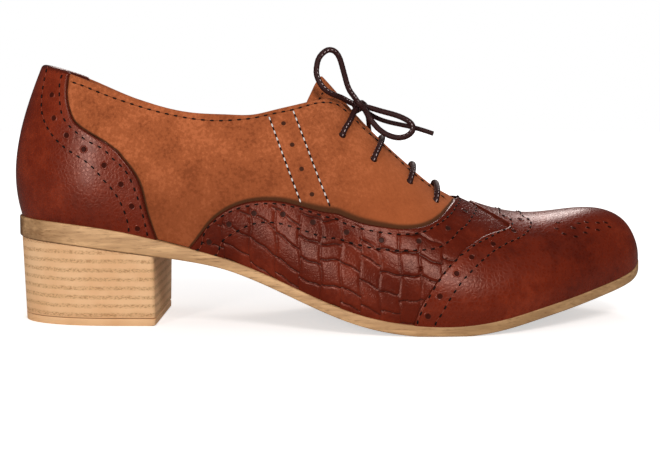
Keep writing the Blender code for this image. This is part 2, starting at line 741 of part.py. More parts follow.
def make_lace():
    """Two strands from the top eyelets to the knot, three bars below, and the bow."""
    knot = Vector(KNOT_AT)
    for side, word in ((-1, "outer"), (1, "inner")):
        route = bar_points(EYELETS[0], side, STRAND_ENDS_AT)
        aim = Vector(route[-1]) - knot
        route.append(tuple(knot + aim.normalized() * (max(KNOT) / 2 + GAP)))
        make_cord("lace_strand_" + word, route, LACE)
    for number, eyelet in enumerate(EYELETS[1:], start=1):
        near = bar_points(eyelet, -1, BAR_ENDS_AT)
        far = bar_points(eyelet, 1, BAR_ENDS_AT)
        crest = (Vector(near[-1]) + Vector(far[-1])) / 2 + Vector(BAR_CREST)
        make_cord(f"lace_bar_{number}", near + [tuple(crest)] + far[::-1], LACE)
    build = bmesh.new()
    sizes = Matrix.Diagonal((*KNOT, 1)) @ Matrix.Scale(0.5, 4)
    bmesh.ops.create_uvsphere(build, u_segments=12, v_segments=8, radius=1,
                              matrix=Matrix.Translation(knot) @ sizes)
    add_object("lace_knot", mesh_of("lace_knot", build), "lace_cord")
    make_cord("lace_loop_up", LOOP_UP, LACE)
    make_cord("lace_loop_forward", LOOP_FORWARD, LACE)
    make_cord("lace_end_forward", END_FORWARD, LACE_END)
    make_cord("lace_end_far", END_FAR, LACE_END)


clear_scene()
SHOE = bpy.data.collections.new("heeled_oxford_shoe")
CUTTERS = bpy.data.collections.new("cutters")
for collection in (SHOE, CUTTERS):
    bpy.context.scene.collection.children.link(collection)
MATERIALS = {name: make_material(name) for name in COLOURS}
make_upper()
make_heel_counter()
make_vamp_panel()
make_wing_cap()
make_tongue()
make_outsole()
make_insole()
make_heel_block()
make_heel_top_piece()
make_lace()
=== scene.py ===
"""Looks of a right heeled oxford shoe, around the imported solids.

Metres, in the row's own frame: +X points to the toe, +Y to the inner side of the foot, +Z up.
The last's ribs and functions are the source's own, so every fine leather follows the same form.
"round" runs 0 at the back seam, 1 at the heel's axis and 2 at the toe's tip; "up" runs 0 at the
feather line and 1 at the collar, the facing edge or the instep ridge.
"""

import math

import bmesh
import bpy
import numpy as np
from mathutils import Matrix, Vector


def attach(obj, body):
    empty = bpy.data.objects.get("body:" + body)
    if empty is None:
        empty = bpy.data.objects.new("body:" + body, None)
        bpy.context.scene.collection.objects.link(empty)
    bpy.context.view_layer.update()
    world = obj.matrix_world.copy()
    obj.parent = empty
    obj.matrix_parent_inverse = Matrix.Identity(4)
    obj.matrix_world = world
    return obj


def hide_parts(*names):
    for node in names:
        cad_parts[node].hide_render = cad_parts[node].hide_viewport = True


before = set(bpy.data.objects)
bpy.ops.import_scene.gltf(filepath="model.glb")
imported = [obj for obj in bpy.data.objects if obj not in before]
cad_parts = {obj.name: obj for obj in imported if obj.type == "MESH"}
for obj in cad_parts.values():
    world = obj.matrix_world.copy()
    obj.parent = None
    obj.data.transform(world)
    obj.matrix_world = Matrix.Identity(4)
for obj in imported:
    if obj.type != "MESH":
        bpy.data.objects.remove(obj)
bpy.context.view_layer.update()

# The last
LENGTH = 0.2630
BALL_WIDTH = 0.0900
CONE_HEIGHT = 0.0850
HEEL_RISE = 0.0397
TOE_SPRING = 0.0195
THROAT_AT = 0.688
FACING_GAP = 0.0110
CORNER_RUN = 0.0060

# Leathers
WALL = 0.0018
OVERLAY = 0.0010
CAP = 0.0018
TONGUE = 0.0016
INSOLE = 0.0022

# Bottom
SOLE = 0.0040
SEAT_EXTRA = 0.0040
SOLE_MARGIN = 0.0024
SOLE_EDGE_ROUND = 0.0005
SEAT_ENDS_AT = 0.350
SEAT_RUN = 0.210
TREAD_FLAT = 0.0003
HEEL_BREAST_AT = 0.2272
HEEL_INSET = 0.0009
HEEL_TAPER_SIDE = 0.0040
HEEL_TAPER_BACK = 0.0012
HEEL_CORNER = 0.0017
LIFT = 0.0030
LIFT_SHARE = LIFT / HEEL_RISE
BEVEL = 0.0003
HEEL_BREAST_X = (HEEL_BREAST_AT - 0.5) * LENGTH
HEEL_TURNS = np.radians(np.linspace(8, 90, 10))

# Lace
LACE = 0.00235
LACE_END = 0.0019
EYELET = 0.0031
PUNCH_DEPTH = 0.0110

# Clearances
GAP = 0.0003
LEATHER_GAP = 0.0004
INNER_GAP = 0.0009

# The last's ribs. at and the four half widths are shares of LENGTH and BALL_WIDTH, rise is a
# share of CONE_HEIGHT, belly_up and crown_up are shares of the rib's own rise, and heel and toe
# say how much of HEEL_RISE and TOE_SPRING lifts the foot there.
RIB_COLUMNS = (
    "at", "centre", "outer", "inner", "belly_outer", "belly_inner", "belly_up",
    "crown", "crown_up", "mouth", "rise", "heel", "toe",
)
RIBS = (
    (.1685, .026, .300, .294, .367, .361, .267, .278, .646, .200, .930, .887, .000),
    (.2674, .026, .306, .272, .372, .352, .275, .283, .632, .150, .990, .735, .000),
    (.3587, .026, .322, .256, .389, .356, .285, .278, .655, .110, 1.035, .562, .000),
    (.4500, .026, .389, .289, .456, .411, .290, .225, .800, .033, 1.088, .322, .000),
    (.5413, .026, .461, .367, .530, .467, .330, .190, .970, .000, .905, .098, .000),
    (.6288, .026, .494, .433, .556, .500, .345, .220, .998, .000, .690, .006, .000),
    (.6858, .026, .489, .450, .550, .511, .345, .245, 1.000, .000, .556, .000, .000),
    (.7467, .037, .462, .428, .512, .478, .380, .256, 1.000, .000, .454, .000, .090),
    (.8075, .056, .400, .383, .435, .422, .410, .248, 1.000, .000, .381, .000, .258),
    (.8684, .081, .311, .311, .340, .340, .460, .210, 1.000, .000, .355, .000, .420),
    (.9178, .100, .228, .228, .248, .248, .520, .155, 1.000, .000, .330, .000, .570),
    (.9502, .109, .167, .167, .180, .180, .560, .112, 1.000, .000, .284, .000, .680),
    (.9722, .113, .115, .115, .124, .124, .580, .076, 1.000, .000, .212, .000, .783),
    (.9856, .115, .059, .059, .063, .063, .580, .038, 1.000, .000, .112, .000, .900),
    (.9909, .116, .000, .000, .000, .000, .580, .000, 1.000, .000, .000, .000, 1.000),
)
# The back seam. seat, belly, crown and mouth are shares of LENGTH behind the heel's axis.
BACK_SEAM = {
    "seat": .159, "belly": .1845, "crown": .152, "mouth": .103,
    "belly_up": .303, "crown_up": .598, "rise": .878, "heel": 1.0, "toe": 0.0,
}
# The collar line: at a share of LENGTH, its height over the feather line as a share of
# CONE_HEIGHT on each side.
COLLAR_COLUMNS = ("at", "outer", "inner")
COLLAR = (
    (.045, .727, .727), (.093, .703, .690), (.146, .668, .640), (.196, .643, .612),
    (.241, .632, .604), (.287, .641, .618), (.340, .679, .662), (.378, .719, .707),
    (.408, .776, .768), (.439, .839, .835), (.469, .900, .900), (.500, .965, .965),
    (.530, 1.08, 1.08), (.570, 1.40, 1.40), (.640, 2.20, 2.20),
)
COLLAR_SOFTNESS = 26
HEEL_SQUARENESS = 2.25
MIRROR_ROWS = 3

# Where the upper's leathers end, in the last's own round and up.
COUNTER_EDGE = (
    (.00, 1.072), (.12, 1.063), (.28, 1.053), (.44, 1.042), (.52, 1.028), (.59, 1.010),
    (.63, .985), (.66, .920), (.70, .812), (.76, .742), (.85, .690), (1.00, .658),
)
CAP_EDGE = (
    (.00, 1.515), (.11, 1.525), (.25, 1.548), (.37, 1.572), (.44, 1.592), (.54, 1.622),
    (.63, 1.654), (.725, 1.690), (.78, 1.678), (.85, 1.657), (.90, 1.641), (1.00, 1.626),
)
VAMP_EDGE = (
    (1.110, -.12), (1.128, .00), (1.147, .13), (1.165, .25), (1.192, .363), (1.223, .44), (1.25, .472),
    (1.283, .480), (1.320, .463), (1.365, .425), (1.405, .408), (1.445, .430), (1.483, .467),
    (1.510, .503), (1.532, .55), (1.555, .63), (1.580, .77), (1.598, .90), (1.606, 1.00),
)

# Eyelets: round and up on the last, and how far forward the lace's bar meets the ridge, as a
# share of LENGTH.
EYELETS = (
    (1.397, .770, .0175), (1.453, .775, .0135), (1.517, .815, .0050), (1.563, .820, .0010),
)
# Tongue: half widths of its columns as shares of BALL_WIDTH, and how deep each lies under the
# last's surface, in walls.
TONGUE_COLUMNS = ((.000, .35), (.026, .60), (.050, 1.34), (.100, 1.42), (.150, 1.42), (.200, 1.42))
TONGUE_TIP_AT = .4860
TONGUE_ROOT_AT = .7150
TONGUE_LEAN = .0290
TONGUE_ROUNDING = 1.5
TONGUE_TUCK = .0600
TONGUE_HALF = TONGUE_COLUMNS[-1][0] * BALL_WIDTH

# The lace's bars, from an eyelet to the ridge: each row says how far past the eyelet's up it
# lies, its share of the way from there to the bar's end, its clearances over the leather, and
# its share of the way forward.
BAR_ROWS = ((.035, .00, 2, .15), (.000, .45, 2, .45), (.000, 1.00, 2, .85))
BAR_ENDS_AT = .985
EYELET_DEPTHS = (0.0019, 0.0004)  # how far inside its eyelet each lace starts
LIP_RISE = 0.40  # of the lace's width, over the eyelet's lip
ROW_GAP = 0.4  # of GAP, for each clearance of a row
BAR_CREST = (0.0002, 0, 0.0004)
STRAND_ENDS_AT = .965

# The lace's free routes.
KNOT_AT = (0.0106, -0.0005, 0.0889)
KNOT_AXIS = (0.62, -0.10, -0.78)
KNOT_SHIFT = (0.0004, 0.0008, -0.0002)
KNOT_RADIUS = 0.0021
KNOT_RUN = 0.0011
KNOT_TURNS = (-0.25, 2.05)
KNOT_THINNER = 0.92
STRAND_NEAR = 0.25  # how near the knot a strand ends, as a share of its last stretch
BOW_HIDDEN = (0.0101, -0.0002, 0.0893)
BOW_FRONT = ((0.0100, -0.0036, 0.0912), (0.0113, -0.0046, 0.0896))
LOOP_UP = (
    (0.0093, -0.0015, 0.0923), (0.0073, -0.0021, 0.0950), (0.0054, -0.0026, 0.0999),
    (0.0039, -0.0032, 0.1054), (0.0024, -0.0038, 0.1096), (0.0005, -0.0046, 0.1117),
    (-0.0016, -0.0054, 0.1121), (-0.0041, -0.0063, 0.1107), (-0.0058, -0.0072, 0.1084),
    (-0.0066, -0.0081, 0.1053), (-0.0067, -0.0090, 0.1023), (-0.0057, -0.0098, 0.0993),
    (-0.0039, -0.0101, 0.0965), (-0.0006, -0.0089, 0.0941), (0.0034, -0.0058, 0.0925),
    (0.0074, -0.0020, 0.0904),
)
LOOP_FORWARD = (
    (0.0126, -0.0039, 0.0884), (0.0142, -0.0060, 0.0857), (0.0167, -0.0080, 0.0820),
    (0.0198, -0.0097, 0.0788), (0.0232, -0.0112, 0.0769), (0.0269, -0.0121, 0.0761),
    (0.0306, -0.0121, 0.0770), (0.0327, -0.0111, 0.0791), (0.0326, -0.0096, 0.0812),
    (0.0302, -0.0077, 0.0834), (0.0255, -0.0055, 0.0854), (0.0200, -0.0032, 0.0869),
    (0.0144, -0.0007, 0.0885),
)
END_FORWARD = (
    (0.0133, 0.0022, 0.0873), (0.0163, 0.0021, 0.0852), (0.0201, 0.0010, 0.0833),
    (0.0274, -0.0025, 0.0814), (0.0346, -0.0055, 0.0798), (0.0415, -0.0075, 0.0776),
)
END_FAR = (
    (0.0123, 0.0029, 0.0900), (0.0136, 0.0062, 0.0896), (0.0146, 0.0102, 0.0868),
    (0.0154, 0.0138, 0.0820), (0.0160, 0.0168, 0.0762), (0.0164, 0.0190, 0.0712),
)

NEARBY = 0.003
MERGE = 0.00001
TINY = 1e-12


def spline(knots, values, at):
    """Natural cubic spline through the values."""
    knots, values, at = (np.asarray(each, float) for each in (knots, values, at))
    count = len(knots)
    step = np.diff(knots)
    slope = np.diff(values) / step
    system = np.eye(count)
    right = np.zeros(count)
    for i in range(1, count - 1):
        system[i, i - 1:i + 2] = step[i - 1], 2 * (step[i - 1] + step[i]), step[i]
        right[i] = 6 * (slope[i] - slope[i - 1])
    bend = np.linalg.solve(system, right)
    i = np.clip(np.searchsorted(knots, at) - 1, 0, count - 2)
    before = (knots[i + 1] - at) / step[i]
    after = 1 - before
    curve = (before ** 3 - before) * bend[i] + (after ** 3 - after) * bend[i + 1]
    return before * values[i] + after * values[i + 1] + curve * step[i] ** 2 / 6


def unit(vectors, least=0.0):
    """The vectors brought to a length of 1; least keeps a vector of no length from harm."""
    return vectors / (np.linalg.norm(vectors, axis=-1, keepdims=True) + least)


def path_runs(points):
    """Distance along a path at each of its points."""
    return np.concatenate([[0], np.cumsum(np.linalg.norm(np.diff(points, axis=0), axis=1))])


RIB = {name: np.array([row[i] for row in RIBS]) for i, name in enumerate(RIB_COLUMNS)}
ALONG = np.concatenate([[0], np.cumsum(np.hypot(
    np.diff(RIB["at"]) * LENGTH, np.diff(RIB["outer"]) * BALL_WIDTH))])
TIP = ALONG[-1]
MOUTH_CLOSES = ALONG[np.argmin(RIB["mouth"])]
HEEL_AXIS_X = (RIB["at"][0] - 0.5) * LENGTH
HEEL_RADIUS = BACK_SEAM["seat"] * LENGTH


def along_shoe(values, place, back=None, odd_at_toe=False):
    """One column of the ribs at a place along the shoe, run on past both ends."""
    knots = list(ALONG)
    values = list(values)
    if back is None:
        knots = [-each for each in ALONG[MIRROR_ROWS:0:-1]] + knots
        values = values[MIRROR_ROWS:0:-1] + values
    else:
        knots = [-HEEL_RADIUS] + knots
        values = [back] + values
    sign = -1 if odd_at_toe else 1
    knots += [2 * TIP - each for each in ALONG[-2:-2 - MIRROR_ROWS:-1]]
    values += [sign * each for each in values[-2:-2 - MIRROR_ROWS:-1]]
    return spline(knots, values, place)


def fan(around):
    """How far behind and beside the heel's axis each place lies, as shares of a quarter turn."""
    turn = np.clip(around, 0, 1) * math.pi / 2
    behind = np.where(around < 1, np.cos(turn) ** (2 / HEEL_SQUARENESS), 0)
    beside = np.where(around < 1, np.sin(turn) ** (2 / HEEL_SQUARENESS), 1)
    return behind, beside


def height_place(around):
    """Distance along the shoe that sets the heights at each place around the last."""
    return np.clip(around - 1, 0, None) * TIP - HEEL_RADIUS * fan(around)[0]


def foot_height(place):
    """Height of the feather line, where the upper stands on the sole."""
    heel = along_shoe(RIB["heel"], place, BACK_SEAM["heel"]) * HEEL_RISE
    toe = along_shoe(RIB["toe"], place, BACK_SEAM["toe"]) * TOE_SPRING
    return heel + toe + SOLE + GAP


def ribs(around, side):
    """Four control points of the rib at each place around the last, and its middle line."""
    around = np.atleast_1d(np.asarray(around, float))
    behind, beside = fan(around)
    wide_place = np.clip(around - 1, 0, None) * TIP
    high_place = height_place(around)
    name = "outer" if side < 0 else "inner"
    widths = {
        "seat": RIB[name], "belly": RIB["belly_" + name],
        "crown": RIB["crown"], "mouth": RIB["mouth"],
    }
    rise = along_shoe(RIB["rise"], high_place, BACK_SEAM["rise"], True) * CONE_HEIGHT
    shares = {
        "seat": 0,
        "belly": along_shoe(RIB["belly_up"], high_place, BACK_SEAM["belly_up"]),
        "crown": along_shoe(RIB["crown_up"], high_place, BACK_SEAM["crown_up"]),
        "mouth": 1,
    }
    middle = along_shoe(RIB["centre"], wide_place) * BALL_WIDTH
    start = RIB["at"][0] - BACK_SEAM["seat"]
    forward = (along_shoe(RIB["at"], wide_place, start) - 0.5) * LENGTH
    forward = np.where(around < 1, HEEL_AXIS_X, forward)
    feet = foot_height(high_place)
    points = np.zeros((len(around), 4, 3))
    for i, control in enumerate(widths):
        width = along_shoe(widths[control], wide_place, odd_at_toe=True) * BALL_WIDTH
        if control == "mouth":
            width = np.where(wide_place < MOUTH_CLOSES, np.clip(width, 0, None), 0)
        points[:, i, 0] = forward - behind * BACK_SEAM[control] * LENGTH
        points[:, i, 1] = middle + side * width * beside
        points[:, i, 2] = feet + shares[control] * rise
    return points, middle


def on_rib(points, share):
    """A point on each rib, a cubic curve through its control points."""
    share = np.asarray(share, float)[:, None]
    rest = 1 - share
    low = rest ** 3 * points[:, 0] + 3 * share * rest ** 2 * points[:, 1]
    return low + 3 * share ** 2 * rest * points[:, 2] + share ** 3 * points[:, 3]


def last_true(test, count):
    """The largest share of each rib for which the test holds, by halving."""
    low, high = np.zeros(count), np.ones(count)
    for _ in range(30):
        middle = (low + high) / 2
        holds = test(middle)
        low, high = np.where(holds, middle, low), np.where(holds, high, middle)
    return low


def rib_tops(around, side):
    """Share of each rib where the upper ends: at the collar, the facing edge or the ridge."""
    points, middle = ribs(around, side)
    count = len(points)
    column = COLLAR_COLUMNS.index("outer" if side < 0 else "inner")
    places = [row[0] for row in COLLAR]
    heights = [row[column] for row in COLLAR]

    def collar_room(spot):
        """How far a spot lies under the collar line, as a share of CONE_HEIGHT."""
        place = np.clip(spot[:, 0] / LENGTH + 0.5, places[0], places[-1])
        return spline(places, heights, place) - (spot[:, 2] - points[:, 0, 2]) / CONE_HEIGHT

    collar = last_true(lambda share: collar_room(on_rib(points, share)) > 0, count)
    spare = np.clip(collar_room(on_rib(points, np.ones(count))), 0, None)
    collar = collar + np.where(collar > 0.9999, spare, 0)
    throat_x = (THROAT_AT - 0.5) * LENGTH
    opening = np.sqrt(np.clip((throat_x - points[:, 0, 0]) / CORNER_RUN, 0, 1)) * FACING_GAP / 2
    facing = last_true(lambda share: abs(on_rib(points, share)[:, 1] - middle) > opening, count)
    facing = np.where(around < 1, 2, facing)
    soft = -np.log(np.exp(-COLLAR_SOFTNESS * collar) + np.exp(-COLLAR_SOFTNESS * facing))
    return np.where(points[:, 0, 0] >= throat_x, 1.0, np.minimum(soft / COLLAR_SOFTNESS, 1.0))


PLACES = np.linspace(0, 2, 1601)
TOPS = {side: rib_tops(PLACES, side) for side in (-1, 1)}
FEATHER_X = ribs(PLACES, 1)[0][:, 0, 0]


def last_surface(around, up, side):
    """Points of the last's surface at matching arrays of round and up."""
    around, up = np.broadcast_arrays(np.asarray(around, float), np.asarray(up, float))
    points, _ = ribs(around.ravel(), side)
    share = up.ravel() * np.interp(around.ravel(), PLACES, TOPS[side])
    return on_rib(points, share).reshape(around.shape + (3,))


def outward(around, up, side):
    """Unit normals of the last's surface, pointing out of the shoe."""
    around = np.clip(np.asarray(around, float), NEARBY, 2 - NEARBY)
    up = np.clip(np.asarray(up, float), NEARBY, 1 - NEARBY)
    forward = last_surface(around + NEARBY, up, side) - last_surface(around - NEARBY, up, side)
    upward = last_surface(around, up + NEARBY, side) - last_surface(around, up - NEARBY, side)
    return unit(np.cross(forward, upward) * -side)


def outline(margin, stations):
    """The feather line seen from above, moved out by a margin: outer and inner side."""
    sides = []
    for side in (-1, 1):
        line = ribs(stations, side)[0][:, 0, :2]
        ahead = ribs(np.clip(stations + NEARBY, 0, 2), side)[0]
        back = ribs(np.clip(stations - NEARBY, 0, 2), side)[0]
        run = unit((ahead - back)[:, 0, :2])
        normal = np.stack([run[:, 1], -run[:, 0]], axis=1) * -side
        normal[stations == 0] = (-1, 0)
        normal[stations == 2] = (1, 0)
        sides.append(line + normal * margin)
    return sides


def station_at(x):
    """Place around the last whose feather line lies at x."""
    return np.interp(x, FEATHER_X, PLACES)


def sole_top(stations):
    """Top face of the sole, under the feather line."""
    return foot_height(height_place(stations)) - GAP


def sole_under(stations):
    """Underside of the sole, ground flat at the ball and thicker over the heel."""
    points = ribs(stations, 1)[0]
    share = np.clip((SEAT_ENDS_AT - 0.5 - points[:, 0, 0] / LENGTH) / SEAT_RUN, 0, 1)
    seat = SEAT_EXTRA * share ** 2 * (3 - 2 * share)
    return np.maximum(sole_top(stations) - SOLE - seat - TREAD_FLAT, 0)


# The photograph: the eye in the row's frame, its focal length and the pixel straight ahead.
EYE = (-0.00115, -0.4977, 0.0915)
PHOTO_SIZE = (660, 460)
FOCAL_PIXELS = 1180
AHEAD_PIXEL = (330, 100)
SHIFT_PIXELS = 45
SENSOR = 36

# Rows of stitches on the outer side, by pixels of the photograph. Each one sits on the leather it
# is named for, and the inner side repeats it. A row that ends at the ridge meets its twin there.
COUNTER_FRONT_ROW = (
    (66.0, 73.0), (64.0, 77), (61.7, 96), (63.8, 114), (76.5, 131), (91, 142), (112, 156.5),
    (126, 170.5), (132.6, 183), (140, 204), (144.5, 221), (148, 238), (149.5, 246),
)
COUNTER_BACK_ROW = (
    (50.5, 67), (47.7, 78), (43.8, 104.5), (46, 120), (56, 137.5), (67, 148), (83, 158.6),
    (98, 172), (104.5, 180), (113.7, 191), (122, 205), (127, 219), (129.5, 240),
)
VAMP_UPPER_ROW = (
    (193, 256), (195.5, 250), (203, 236.6), (215, 220.6), (229, 212), (246, 206), (263, 203.4),
    (281, 204), (299, 208), (318, 214), (341, 221), (364, 229), (387, 233), (410, 234),
    (430, 229), (442.5, 221), (453, 211), (459.5, 200),
)
VAMP_LOWER_ROW = (
    (211, 260), (212.5, 256), (221, 243.5), (233.6, 233), (249, 225), (269, 222), (287, 225),
    (311.6, 233), (333, 238), (356, 244), (379, 249), (400, 250.5), (421, 250), (437, 248),
    (451.4, 239), (464, 227), (473, 214.6), (476, 209),
)
CAP_BACK_ROW = (
    (504.6, 216.5), (510, 219), (512, 223), (511.7, 226.4), (504, 230), (495.5, 234), (488, 238),
    (480, 242), (472, 247), (465, 253), (458, 259), (451, 265.5), (441, 279), (432, 293),
    (424, 309), (418, 323.6),
)
CAP_FRONT_ROW = (
    (523.7, 216.5), (529.5, 220), (530.7, 225.6), (525, 234), (517, 239), (509.6, 242),
    (501, 246.7), (494, 251), (487, 256.7), (480, 263), (469, 274.5), (457, 289.6), (448, 304),
    (440, 318), (436, 325),
)
COLLAR_ROW = (
    (73, 82), (84, 85.6), (101, 92.6), (126, 101.7), (151.5, 109.7), (178, 116), (205, 120),
    (222, 120.6), (240, 119.6), (258.6, 117), (277, 113), (294, 109.5), (311, 104.6),
    (320, 102.8), (329, 102.8), (337.5, 105), (346, 111.5), (356, 121), (366, 131), (378, 141),
    (390.5, 152), (404, 165), (417.5, 177), (432, 188), (446, 199),
)
STRIP_BACK_ROW = ((269.5, 117), (280, 146), (291, 176), (300.7, 202))
STRIP_FRONT_ROW = ((293.4, 111), (306, 144), (318, 176), (330, 206))

# Pinholes, by pixels of the photograph.
COUNTER_HOLES = (
    (54, 95), (55.6, 118), (68, 135), (85, 149), (105, 165), (121.5, 184), (132, 206), (137.5, 228.5),
)
VAMP_HOLES = (
    (209, 242), (229, 224), (254, 213), (283, 214), (313, 222), (346.5, 232), (381.5, 240),
    (419, 241), (448, 228), (465, 210.5),
)
CAP_HOLES = (
    (513.7, 230.7), (493.4, 243.7), (472, 257), (457, 273.6), (440.4, 296.8), (428.6, 317),
    (520, 219),
)
STRIP_HOLES = ((283.8, 123.3), (292.4, 144.5), (301.7, 168.6), (312, 194))
MEDALLION_HOLES = (
    (558, 222.8), (556.8, 228.8), (564.2, 233.9), (573.5, 227.9), (575.9, 236.5), (578.6, 223.2),
    (586.5, 222.2), (587.9, 227.5), (585.6, 232.6), (597.9, 222.6), (597.8, 229.7),
    (605.8, 222.6), (609.3, 226.8),
)
HOLE = (0.0026, 0.0026)
STRIP_HOLE = (0.0022, 0.0022)
MEDALLION_HOLE = (0.0021, 0.0011)
DISH = 0.00012
JUST_OVER = 0.00003
# Rings of a punched hole: share of its radius, share of the dish's rise, and darkness, the painted shade
# in the hole over the underlay's colour.
HOLE_RINGS = (
    (1.30, 0.0, 0.0), (1.12, 0.9, 0.0), (1.0, 1.0, 0.25), (0.88, 0.45, 0.8),
    (0.70, 0.12, 1.0), (0.35, 0.05, 1.0), (0.001, 0.05, 1.0),
)
# Finding a pixel's place on the last: a small step, a view too flat to trust, a size that stops it.
SMALL = 0.002
SEEN_EDGE_ON = 1e3
NO_STEP = 1e9
LARGEST_STEP = (0.006, 0.012)

# Threads
THREAD = 0.00062
DASH = 0.0017
DASH_STEP = 0.0036
STRIP_DASH = 0.0030
TONGUE_ROW_AT = 0.045
GROOVE_THREAD = 0.00022
STRIP_FILL = 0.56
# A dash's arch and how far its ends lie under the leather, in threads, and how thin they get.
DASH_ARCH = 0.42
DASH_SUNK = 0.12
DASH_TAPER = 0.86
LEAST_STEP = 0.0006
BLACK, WHITE, RED, TAN = range(4)  # the threads' slots

# Folded edges
FOLD = 0.0009
FOLD_STEPS = (0, .05, .15, .3, .5, .75, 1.0, 1.3)
FOLD_DIP = 0.00005
# Widths of the darkened borders: burnish with painted shade along the folds.
COUNTER_RIM = 0.0011
PANEL_RIM = 0.0010
COUNTER_SHADE = 0.0011
VAMP_SHADE = 0.0022
# The painted shadow beside an overlay's edge: start under the overlay, blend, darkness, lift, and width
# at its ends.
BAND_STARTS = -0.15
BAND_BLEND = 0.55
BAND_DARK = 0.9
BAND_LIFT = 0.00006
BAND_NARROW = 0.35
COUNTER_LENGTH = 0.062
VAMP_HEIGHT = 0.050
CAP_LENGTH = 0.085
ROLL_STEPS = 9
BLOCK = 4000  # points whose distances are found at once
COUNTER_WRAP = 0.0004
PANEL_TOP = LEATHER_GAP + OVERLAY
CAP_TOP = LEATHER_GAP + CAP

# Blocky scales of the embossed leather
SCALE_SIZE = (0.0090, 0.0092)
SCALE_DEPTH = 0.00040
ROW_GROOVE = 0.00042
COLUMN_GROOVE = 0.00036
SCALE_ROUNDING = 0.0016
SCALE_DRAWS = 64
SCALE_STRETCH = (0.90, 1.22)
SCALE_LEAN = 0.35
SCALE_SHIFT = 0.20
COLUMN_DEPTH = 0.62
CORNER_BLEND = 0.0004
PLAIN_BORDER = 0.0016
PLAIN_BLEND = 0.0012
# The panel's flatter front: how flat, where it starts in round and up, and over what it blends.
FRONT_FLATTENED = 0.78
FRONT_STARTS = (1.50, 0.40)
FRONT_BLEND = (0.08, 0.25)
GROOVE_SHARE = 0.6
EDGE_SHARE = 0.6
# Waves of the borders: how large in scales, and radians a metre up and along, or along alone.
COLUMN_WANDER = (0.05, 330, 90)
COLUMN_SWAY = (0.35, 61)
ROW_SWAY = (0.03, 900)
SMOOTHED_PART = (1.16, 1.56)
SMOOTHED_BLEND = 0.05
EDGE_SMOOTHING = 0.07
TUCKED_FRONT = 0.008
SCALE_SEED = 11
RIB_HEIGHT = 0.062


def srgb(red, green, blue):
    """A colour read off the photograph, 0 to 255, as linear values."""
    shares = np.array((red, green, blue)) / 255
    linear = np.where(shares <= 0.04045, shares / 12.92, ((shares + 0.055) / 1.055) ** 2.4)
    return (*linear.tolist(), 1)


# Camera, lights and floor


def make_camera():
    """The photograph's eye, turned down a little and shifted for the rest of its framing."""
    drop = PHOTO_SIZE[1] / 2 - AHEAD_PIXEL[1]
    below = math.atan(drop / FOCAL_PIXELS)
    pitch = below - math.atan(SHIFT_PIXELS / FOCAL_PIXELS)
    focal = FOCAL_PIXELS * math.cos(below - pitch) / math.cos(below)
    camera = bpy.data.objects.new("camera", bpy.data.cameras.new("camera"))
    camera.data.sensor_width = SENSOR
    camera.data.lens = focal * SENSOR / PHOTO_SIZE[0]
    camera.data.shift_y = -SHIFT_PIXELS / PHOTO_SIZE[0]
    camera.data.clip_start = 0.01
    camera.location = EYE
    camera.rotation_euler = (math.pi / 2 - pitch, 0, 0)
    bpy.context.scene.collection.objects.link(camera)
    bpy.context.scene.camera = camera


LIGHTS = {
    "front_strip": ((-0.46, -0.86, 0.26), (0.12, 0.50), 3.2, (-0.07, 0.0, 0.06)),
    "upper_front": ((0.30, -0.78, 0.76), (0.34, 0.30), 4.0, (0.02, 0.0, 0.04)),
    "overhead": ((0.15, 0.80, 0.66), (0.36, 0.34), 2.9, (0.04, 0.0, 0.03)),
}
PANEL_WARMTH = (1.0, 0.93, 0.90)
DIFFUSE_ROOM = 0.34
GLOSSY_ROOM = 0.05
FLOOR_LIFT = 0.56
FLOOR_WHITE = (0.86, 0.86, 0.86, 1)
FLOOR_MIRRORED = (0.22, 0.20, 0.19, 1)
FLOOR_FADE = (0.45, 1.6)
FLOOR_RADIUS = 3.0


def make_lights():
    """Two soft panels, a strip for the heel's highlight, and a white backdrop."""
    for name, (place, size, power, aim) in LIGHTS.items():
        lamp = bpy.data.lights.new(name, "AREA")
        lamp.shape = "RECTANGLE"
        lamp.size, lamp.size_y = size
        lamp.energy = power
        lamp.color = PANEL_WARMTH
        made = bpy.data.objects.new(name, lamp)
        made.location = place
        made.rotation_mode = "QUATERNION"
        made.rotation_quaternion = (Vector(aim) - Vector(place)).to_track_quat("-Z", "Y")
        bpy.context.scene.collection.objects.link(made)
    world = bpy.data.worlds.new("studio")
    world.use_nodes = True
    bpy.context.scene.world = world
    tree = world.node_tree
    background = tree.nodes["Background"]
    background.inputs["Color"].default_value = (1, 1, 1, 1)
    path = node(tree, "ShaderNodeLightPath")
    room = math_node(tree, "MULTIPLY_ADD", path.outputs["Is Glossy Ray"],
                     GLOSSY_ROOM - DIFFUSE_ROOM, DIFFUSE_ROOM)
    strength = math_node(tree, "MULTIPLY_ADD", path.outputs["Is Camera Ray"],
                         1 - DIFFUSE_ROOM, room)
    tree.links.new(strength, background.inputs["Strength"])
    bpy.context.scene.view_settings.view_transform = "Standard"


